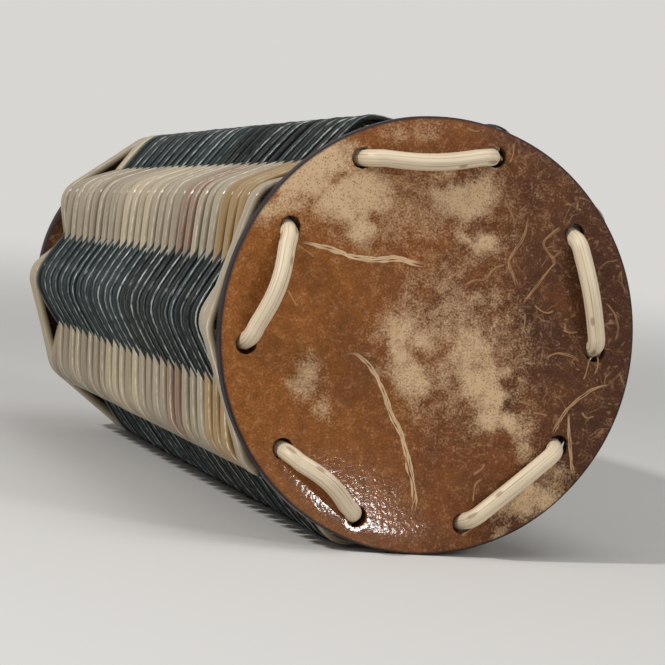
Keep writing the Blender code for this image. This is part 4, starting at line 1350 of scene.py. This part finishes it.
def add_floor(stage):
    """Pale floor that keeps the shadow near the shaker and fades into the backdrop further out."""
    mesh = bpy.data.meshes.new("floor")
    form = bmesh.new()
    bmesh.ops.create_circle(form, cap_ends=True, segments=FLOOR_SIDES, radius=stage.floor_radius)
    form.to_mesh(mesh)
    form.free()
    material = bpy.data.materials.new("matt_paper_floor")
    material.use_nodes = True
    tree = material.node_tree
    shader = tree.nodes["Principled BSDF"]
    shader.inputs["Base Color"].default_value = solid(stage.floor)
    shader.inputs["Roughness"].default_value = 0.9
    shader.inputs["Specular IOR Level"].default_value = 0.1
    spot = add_node(tree, "ShaderNodeTexCoord").outputs["Object"]
    out = add_node(tree, "ShaderNodeVectorMath", {0: spot}, operation='LENGTH')
    fade = add_node(tree, "ShaderNodeMapRange", {
        "Value": out.outputs["Value"], "From Min": FADE_START, "From Max": FADE_END},
        interpolation_type='SMOOTHSTEP')
    share = add_node(tree, "ShaderNodeMath", {
        0: fade.outputs[0], 1: backdrop_rays(tree)}, operation='MULTIPLY')
    glow = add_node(tree, "ShaderNodeEmission", {"Color": solid(stage.backdrop), "Strength": 1.0})
    both = add_node(tree, "ShaderNodeMixShader", {
        0: share.outputs[0], 1: shader.outputs[0], 2: glow.outputs[0]})
    tree.links.new(both.outputs[0], tree.nodes["Material Output"].inputs["Surface"])
    floor = bpy.data.objects.new("floor", mesh)
    mesh.materials.append(material)
    bpy.context.scene.collection.objects.link(floor)


def add_world(stage):
    """Even light all round, and the backdrop's colour where the camera or a gloss looks past the floor."""
    world = bpy.data.worlds.new("studio")
    world.use_nodes = True
    tree = world.node_tree
    tree.nodes.clear()
    soft = add_node(tree, "ShaderNodeBackground", {
        "Color": solid((1.0, 1.0, 1.0)), "Strength": stage.ambient})
    seen = add_node(tree, "ShaderNodeBackground", {"Color": solid(stage.backdrop), "Strength": 1.0})
    both = add_node(tree, "ShaderNodeMixShader", {
        0: backdrop_rays(tree), 1: soft.outputs[0], 2: seen.outputs[0]})
    add_node(tree, "ShaderNodeOutputWorld", {"Surface": both.outputs[0]})
    bpy.context.scene.world = world


class SHAKER_OT_stage(bpy.types.Operator):
    """Adds the camera, the lamps, the floor and the light all round"""
    bl_idname = "shaker.add_stage"
    bl_label = "Add stage"

    def execute(self, context):
        stage = context.scene.shaker_stage
        data = bpy.data.cameras.new("camera")
        data.angle = stage.camera_view
        camera = bpy.data.objects.new("camera", data)
        context.scene.collection.objects.link(camera)
        side, height = stage.camera_azimuth, stage.camera_elevation
        level_reach = math.cos(height)
        back = Vector((math.sin(side) * level_reach, -math.cos(side) * level_reach, math.sin(height)))
        level = (-back).to_track_quat('-Z', 'Y')
        camera.location = NEAR_FACE + Vector(stage.camera_offset)
        camera.rotation_mode = 'QUATERNION'
        camera.rotation_quaternion = level @ Quaternion((0.0, 0.0, 1.0), stage.camera_roll)
        context.scene.camera = camera
        context.scene.view_settings.view_transform = 'Standard'

        middle = (NEAR_FACE + FAR_FACE) / 2
        add_lamp("overhead_lamp", Vector(OVERHEAD_PLACE), middle, OVERHEAD_SIZE, stage.overhead_power)
        add_lamp("front_lamp", Vector(FRONT_PLACE), middle, FRONT_SIZE, stage.front_power)
        add_lamp("crest_lamp", Vector(CREST_PLACE), middle, CREST_SIZE, stage.crest_power)
        spot = LAID @ Vector((*stage.gloss_spot, 0.0))
        sight = (spot - camera.location).normalized()
        facing = (Vector((0.0, 0.0, math.tan(LACQUER_LEAN))) - AXIS).normalized()
        mirrored = sight.reflect(facing)
        add_lamp("gloss_lamp", spot + mirrored * GLOSS_DISTANCE, spot, GLOSS_SIZE, stage.gloss_power)
        add_floor(stage)
        add_world(stage)
        return {'FINISHED'}


class SHAKER_PT_panel(bpy.types.Panel):
    """Lists the shaker's pieces and their sizes and colours"""
    bl_idname = "SHAKER_PT_panel"
    bl_label = "Coconut Shaker"
    bl_space_type = 'VIEW_3D'
    bl_region_type = 'UI'
    bl_category = "Shaker"

    def draw(self, context):
        for step in STEPS:
            self.layout.operator(step.bl_idname)
        for group in GROUPS:
            column = self.layout.column()
            settings = getattr(context.scene, group)
            for name in settings.bl_rna.properties.keys():
                if name not in ("rna_type", "name"):
                    column.prop(settings, name)


GROUPS = {"shaker_sizes": ShakerSizes, "shaker_colours": ShakerColours, "shaker_stage": ShakerStage}
STEPS = (SHAKER_OT_stage, SHAKER_OT_discs, SHAKER_OT_canes, SHAKER_OT_wall, SHAKER_OT_seeds)


def register():
    for kind in (*GROUPS.values(), *STEPS, SHAKER_PT_panel):
        bpy.utils.register_class(kind)
    for name, kind in GROUPS.items():
        setattr(bpy.types.Scene, name, PointerProperty(type=kind))


def unregister():
    for name in GROUPS:
        delattr(bpy.types.Scene, name)
    for kind in reversed((*GROUPS.values(), *STEPS, SHAKER_PT_panel)):
        bpy.utils.unregister_class(kind)


def main():
    register()
    bpy.ops.shaker.add_stage()
    bpy.ops.shaker.add_discs()
    bpy.ops.shaker.add_canes()
    bpy.ops.shaker.add_wall()
    bpy.ops.shaker.add_seeds()


if __name__ == "__main__":
    main()
